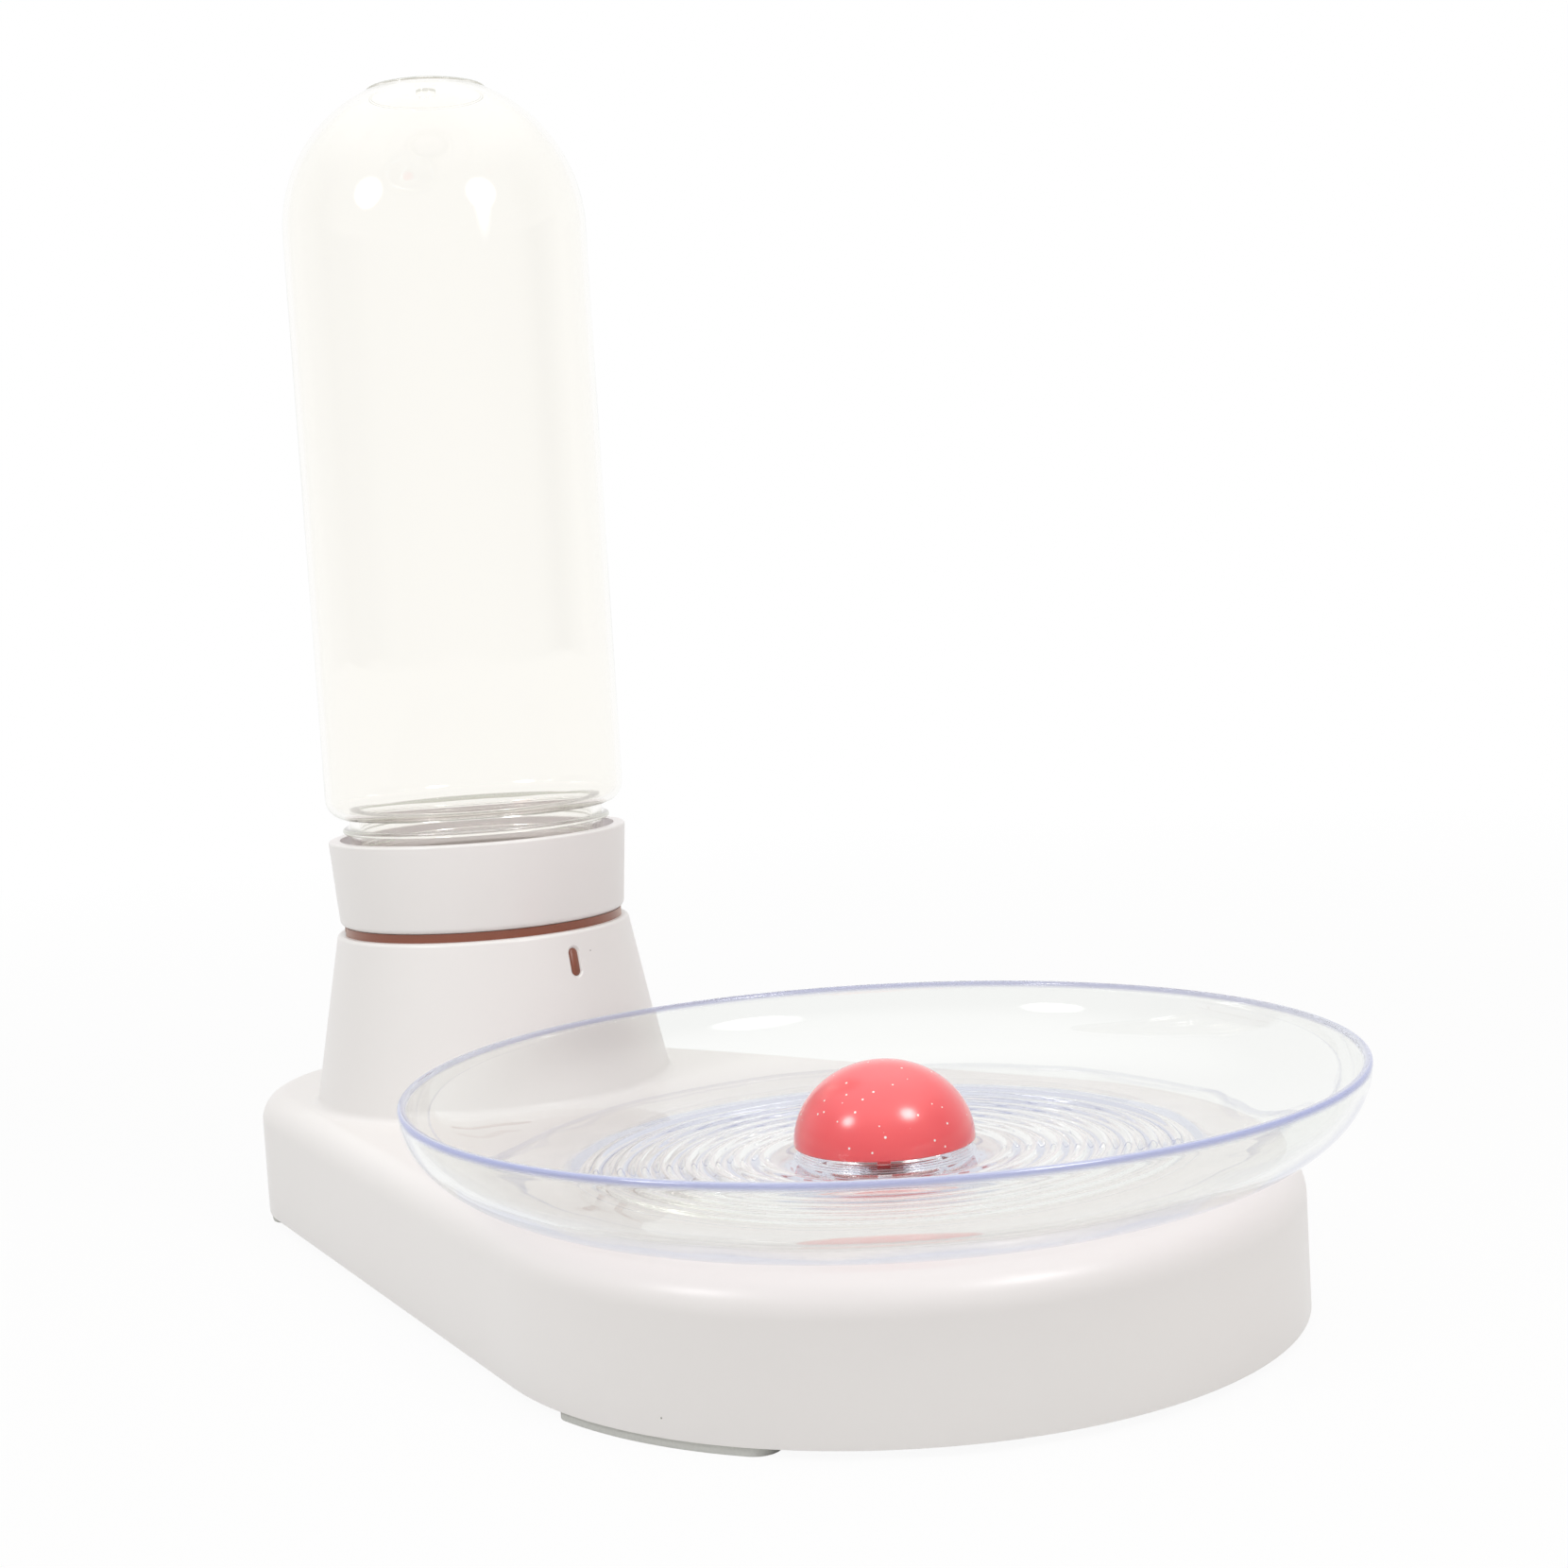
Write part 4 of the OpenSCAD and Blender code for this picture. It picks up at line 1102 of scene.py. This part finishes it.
    def build(self) -> Piece:
        """Returns the base with its tower, posts and outlet socket."""
        ceiling = LAYOUT.top_z - self.wall
        bowl_y = LAYOUT.bowl_y
        posts = [(x, y + bowl_y) for x, y in self.front_posts] + [(x, y + LAYOUT.back_y) for x, y in self.back_posts]
        root_z, tip_z = self.socket_z + PAST, self.socket_z - self.barb_length
        head_z = self.socket_z + self.barb_head - self.barb_length
        neck = self.barb - self.barb_step
        barb = Section(self.barb_bore / 2, root_z).line(
            (neck, root_z), (neck, head_z), (self.barb, head_z), (self.barb - self.barb_taper, tip_z),
            (self.barb_bore / 2, tip_z)).close()
        piece = self.plan("base_moulding", 0, LAYOUT.base_z, LAYOUT.top_z, self.edge)
        combine(piece, [
            ("UNION", [self.tower()]),
            ("DIFFERENCE", [self.plan("inner_body", self.wall, LAYOUT.base_z - PAST, ceiling, self.edge - self.wall),
                            self.bore(), self.slot()]),
            ("UNION", [self.cylinder(x, y, self.post, self.post_z, ceiling + PAST) for x, y in posts]),
            ("UNION", [self.cylinder(0, bowl_y, self.socket, self.socket_z, ceiling + PAST),
                       new_object("barb", barb.turn(bowl_y, self.small_around))]),
            ("DIFFERENCE", [self.cylinder(x, y, self.post_bore, self.post_z - PAST, self.post_bore_top_z)
                            for x, y in posts]),
            ("DIFFERENCE", [self.cylinder(0, bowl_y, self.socket_bore, self.socket_floor_z, LAYOUT.top_z + PAST),
                            self.cylinder(0, bowl_y, self.barb_bore, self.barb_clear_z, LAYOUT.top_z)])])
        smooth(piece)
        even = piece.modifiers.new("even_shading", "WEIGHTED_NORMAL")
        even.keep_sharp = True
        return piece


@dataclass
class Studio:
    """White studio: the photograph's camera, two round soft lamps, a pale surround and a pale floor."""

    camera: Place = (-0.29633, -0.36060, 0.13277)
    turn: float = -0.727
    tilt: float = math.pi / 2 - 0.078
    roll: float = -0.060
    lens: float = 54.228
    sensor: float = 36
    clip: float = 0.01
    lamps: tuple[Place, ...] = ((-0.38, 0.03, 0.364), (0.01, -0.30, 0.338))
    lamp_aim: Place = (0, 0, 0.08)
    lamp_size: float = 0.17
    lamp_power: float = 1.1
    lamp_core: float = 0.1
    behind: Place = (0.6626, 0.7449, 0.0)
    seen: tuple[Pair, ...] = ((0.0, 0.95), (0.3, 0.9), (0.46, 0.72), (0.6, 0.88), (0.72, 1.0))
    seen_top: Pair = (0.3, 0.8)
    overhead: float = 1.8
    overhead_z: Pair = (0.5, 0.98)
    horizon: float = 0.05
    zenith: float = 1.31
    left: tuple[float, ...] = (1.1, 1.1, 1.1, 1.0)
    right: tuple[float, ...] = (0.81, 0.765, 0.735, 1.0)
    bounces: int = 16
    floor_colour: str = "DCDCDB"
    floor_size: float = 6
    floor_white: float = 0.94
    floor_fade: Pair = (0.3, 0.9)

    def add_camera(self) -> None:
        """Adds the camera of the photograph."""
        data = bpy.data.cameras.new("photo_camera")
        data.lens, data.sensor_width, data.clip_start = self.lens, self.sensor, self.clip
        camera = bpy.data.objects.new("photo_camera", data)
        camera.matrix_world = (Matrix.Translation(self.camera) @ Matrix.Rotation(self.turn, 4, "Z")
                               @ Matrix.Rotation(self.tilt, 4, "X") @ Matrix.Rotation(self.roll, 4, "Z"))
        bpy.context.scene.collection.objects.link(camera)
        bpy.context.scene.camera = camera

    def add_lamps(self) -> None:
        """Adds the two round soft lamps, turned to the middle of the object, each fading towards its edge."""
        for number, place in enumerate(self.lamps, 1):
            data = bpy.data.lights.new(f"soft_lamp_{number}", "AREA")
            data.shape, data.size, data.energy = "DISK", self.lamp_size, self.lamp_power
            tree = blank(data)
            # Parametric coordinates run from 0 to 1 across the lamp, so 0.5 is its centre and half its width
            far = off_axis(tree, add(tree, "NewGeometry").outputs["Parametric"], (0.5, 0.5, 0))
            fade = add(tree, "MapRange", {"Value": far, "From Min": self.lamp_core, "From Max": 0.5, "To Min": 1.0,
                                          "To Max": 0.0}, interpolation_type="SMOOTHSTEP")
            add(tree, "OutputLight", {"Surface": add(tree, "Emission", {"Strength": fade})})
            lamp = bpy.data.objects.new(data.name, data)
            aim = Vector(self.lamp_aim) - Vector(place)
            lamp.matrix_world = Matrix.Translation(place) @ aim.to_track_quat("-Z", "Y").to_matrix().to_4x4()
            bpy.context.scene.collection.objects.link(lamp)

    def set_tone(self, tree: Tree, way: Socket, height: Socket) -> Node:
        """Paints the white set with grey sides that clear walls and glossy skins show.

        Args:
            tree: The world's node tree.
            way: Direction of the ray.
            height: Its upward part.

        Returns:
            The node that gives the set's tone.
        """
        facing = add(tree, "VectorMath", {0: way, 1: self.behind}, operation="DOT_PRODUCT")
        turned = add(tree, "MapRange", {"Value": facing, "From Min": -1.0})
        tone = add(tree, "ValToRGB", {"Fac": turned})
        stops = tone.color_ramp.elements
        for place, level in self.seen:
            stop = stops[0] if place == 0 else stops.new(place)
            stop.color = (level, level, level, 1)
        above = add(tree, "MapRange", {"Value": height, "From Min": self.seen_top[0], "From Max": self.seen_top[1]})
        return add(tree, "Mix", {0: above, 6: tone, 7: WHITE}, data_type="RGBA")

    def add_world(self) -> None:
        """Adds the surround: white to the camera, a white set with grey sides in clear walls, and soft light."""
        world = bpy.data.worlds.new("pale_studio")
        bpy.context.scene.world = world
        tree = blank(world)
        way = add(tree, "TexCoord").outputs["Generated"]
        side, _, height = add(tree, "SeparateXYZ", {"Vector": way}).outputs
        rays = add(tree, "LightPath")
        # The overhead light shows only in outer reflections, because it would blow out what is seen through a wall
        top = add(tree, "MapRange", {"Value": height, "From Min": self.overhead_z[0], "From Max": self.overhead_z[1]},
                  interpolation_type="SMOOTHSTEP")
        outer = add(tree, "Math", {0: rays.outputs["Transmission Depth"], 1: HALF}, operation="LESS_THAN")
        top = add(tree, "Math", {0: top, 1: outer}, operation="MULTIPLY")
        power = add(tree, "MapRange", {"Value": top, "To Min": 1.0, "To Max": self.overhead})
        light = add(tree, "MapRange", {"Value": height, "To Min": self.horizon, "To Max": self.zenith})
        across = add(tree, "MapRange", {"Value": side, "From Min": -1.0})
        cast = add(tree, "Mix", {0: across, 6: self.left, 7: self.right}, data_type="RGBA")
        lit = add(tree, "Background", {"Color": cast, "Strength": light})
        shown = add(tree, "Background", {"Color": self.set_tone(tree, way, height), "Strength": power})
        white = add(tree, "Background", {"Color": WHITE, "Strength": 1.0})
        mixed = add(tree, "MixShader", {0: sight(tree, rays, "Is Glossy Ray", "Is Transmission Ray"),
                                        1: lit, 2: shown})
        both = add(tree, "MixShader", {0: rays.outputs["Is Camera Ray"], 1: mixed, 2: white})
        add(tree, "OutputWorld", {"Surface": both})

    def add_floor(self) -> None:
        """Adds the floor: white to the eye and in reflections, with the object's shadow left on it."""
        mesh = bmesh.new()
        bmesh.ops.create_grid(mesh, x_segments=1, y_segments=1, size=self.floor_size)
        floor = new_object("studio_floor", mesh)
        material = bpy.data.materials.new("pale_floor")
        tree = blank(material)
        paint = add(tree, "BsdfDiffuse", {"Color": linear(self.floor_colour)})
        white = add(tree, "Emission", {"Color": WHITE, "Strength": 1.0})
        seen = sight(tree, add(tree, "LightPath"), "Is Camera Ray", "Is Glossy Ray", "Is Transmission Ray")
        far = add(tree, "VectorMath", {0: add(tree, "TexCoord").outputs["Object"]}, operation="LENGTH")
        most = add(tree, "MapRange", {"Value": far, "From Min": self.floor_fade[0], "From Max": self.floor_fade[1],
                                      "To Min": self.floor_white})
        share = add(tree, "Math", {0: seen, 1: most}, operation="MULTIPLY")
        add(tree, "OutputMaterial", {"Surface": add(tree, "MixShader", {0: share, 1: paint, 2: white})})
        floor.data.materials.append(material)

    def build(self) -> None:
        """Sets the whole studio up."""
        self.add_camera()
        self.add_lamps()
        self.add_world()
        self.add_floor()
        scene = bpy.context.scene
        scene.view_settings.view_transform = "Standard"
        scene.cycles.use_denoising = True
        # Light that is trapped in a clear wall needs many turns before it leaves it
        for kind in ("max_bounces", "transmission_bounces", "glossy_bounces", "transparent_max_bounces"):
            setattr(scene.cycles, kind, self.bounces)


def finish_cad(nodes: dict[str, Piece], white: bpy.types.Material, brown: bpy.types.Material) -> None:
    """Gives the CAD solids that stay as they are a finish each.

    Args:
        nodes: The CAD nodes by name.
        white: Material of the white moulded pieces.
        brown: Material of the silicone sleeve, whose brown is painted shade in the gap under the collar and in the
            slot.
    """
    rubber, silicone, acetal, steel = (finish.build() for finish in (GREY_RUBBER, PALE_SILICONE, ACETAL, STEEL))
    finishes = {
        # The sleeve's brown is painted shade in the gap under the collar
        "base_cover": white, "socket_liner": brown, "cover_screws": steel, "valve_spring": steel,
        **dict.fromkeys(("sump_cup", "valve_guide", "valve_stem"), acetal),
        **dict.fromkeys(("valve_seal", "cap_gasket", "sump_gasket", "outlet_seal", "water_tube"), silicone),
        **dict.fromkeys((f"foot_{end}_{side}" for end in ("front", "rear") for side in ("left", "right")), rubber)}
    for node, finish in finishes.items():
        materials = nodes[node].data.materials
        materials.clear()
        materials.append(finish)
        log.info("%s: CAD solid in %s", node, finish.name)


def main() -> None:
    """Builds the dispenser and its studio."""
    logging.basicConfig(level=logging.INFO, format="%(message)s")
    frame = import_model()
    Studio().build()
    white, brown = WHITE_ABS.build(), BROWN_SHADE_SILICONE.build()
    base = BaseShell()
    dress(base.build(), Body.BASE, Slot.WHITE, white, "base_shell")
    # The brown tab fills the slot with painted shade
    dress(base.sleeve_tab(), Body.BASE, Slot.BROWN, brown)
    dress(Bowl().build(), Body.BASE, Slot.BOWL, CLEAR_PS.build(), "bowl")
    dress(DomeCap().build(), Body.DOME, Slot.CORAL, CORAL.build(), "dome_cap")
    dress(BottleCap().build(), Body.CAP, Slot.WHITE, white, "bottle_cap")
    dress(Bottle().build(), Body.BOTTLE, Slot.BOTTLE, CLEAR_PET.build(), "bottle")
    finish_cad(frame["nodes"], white, brown)


if __name__ == "__main__":
    main()
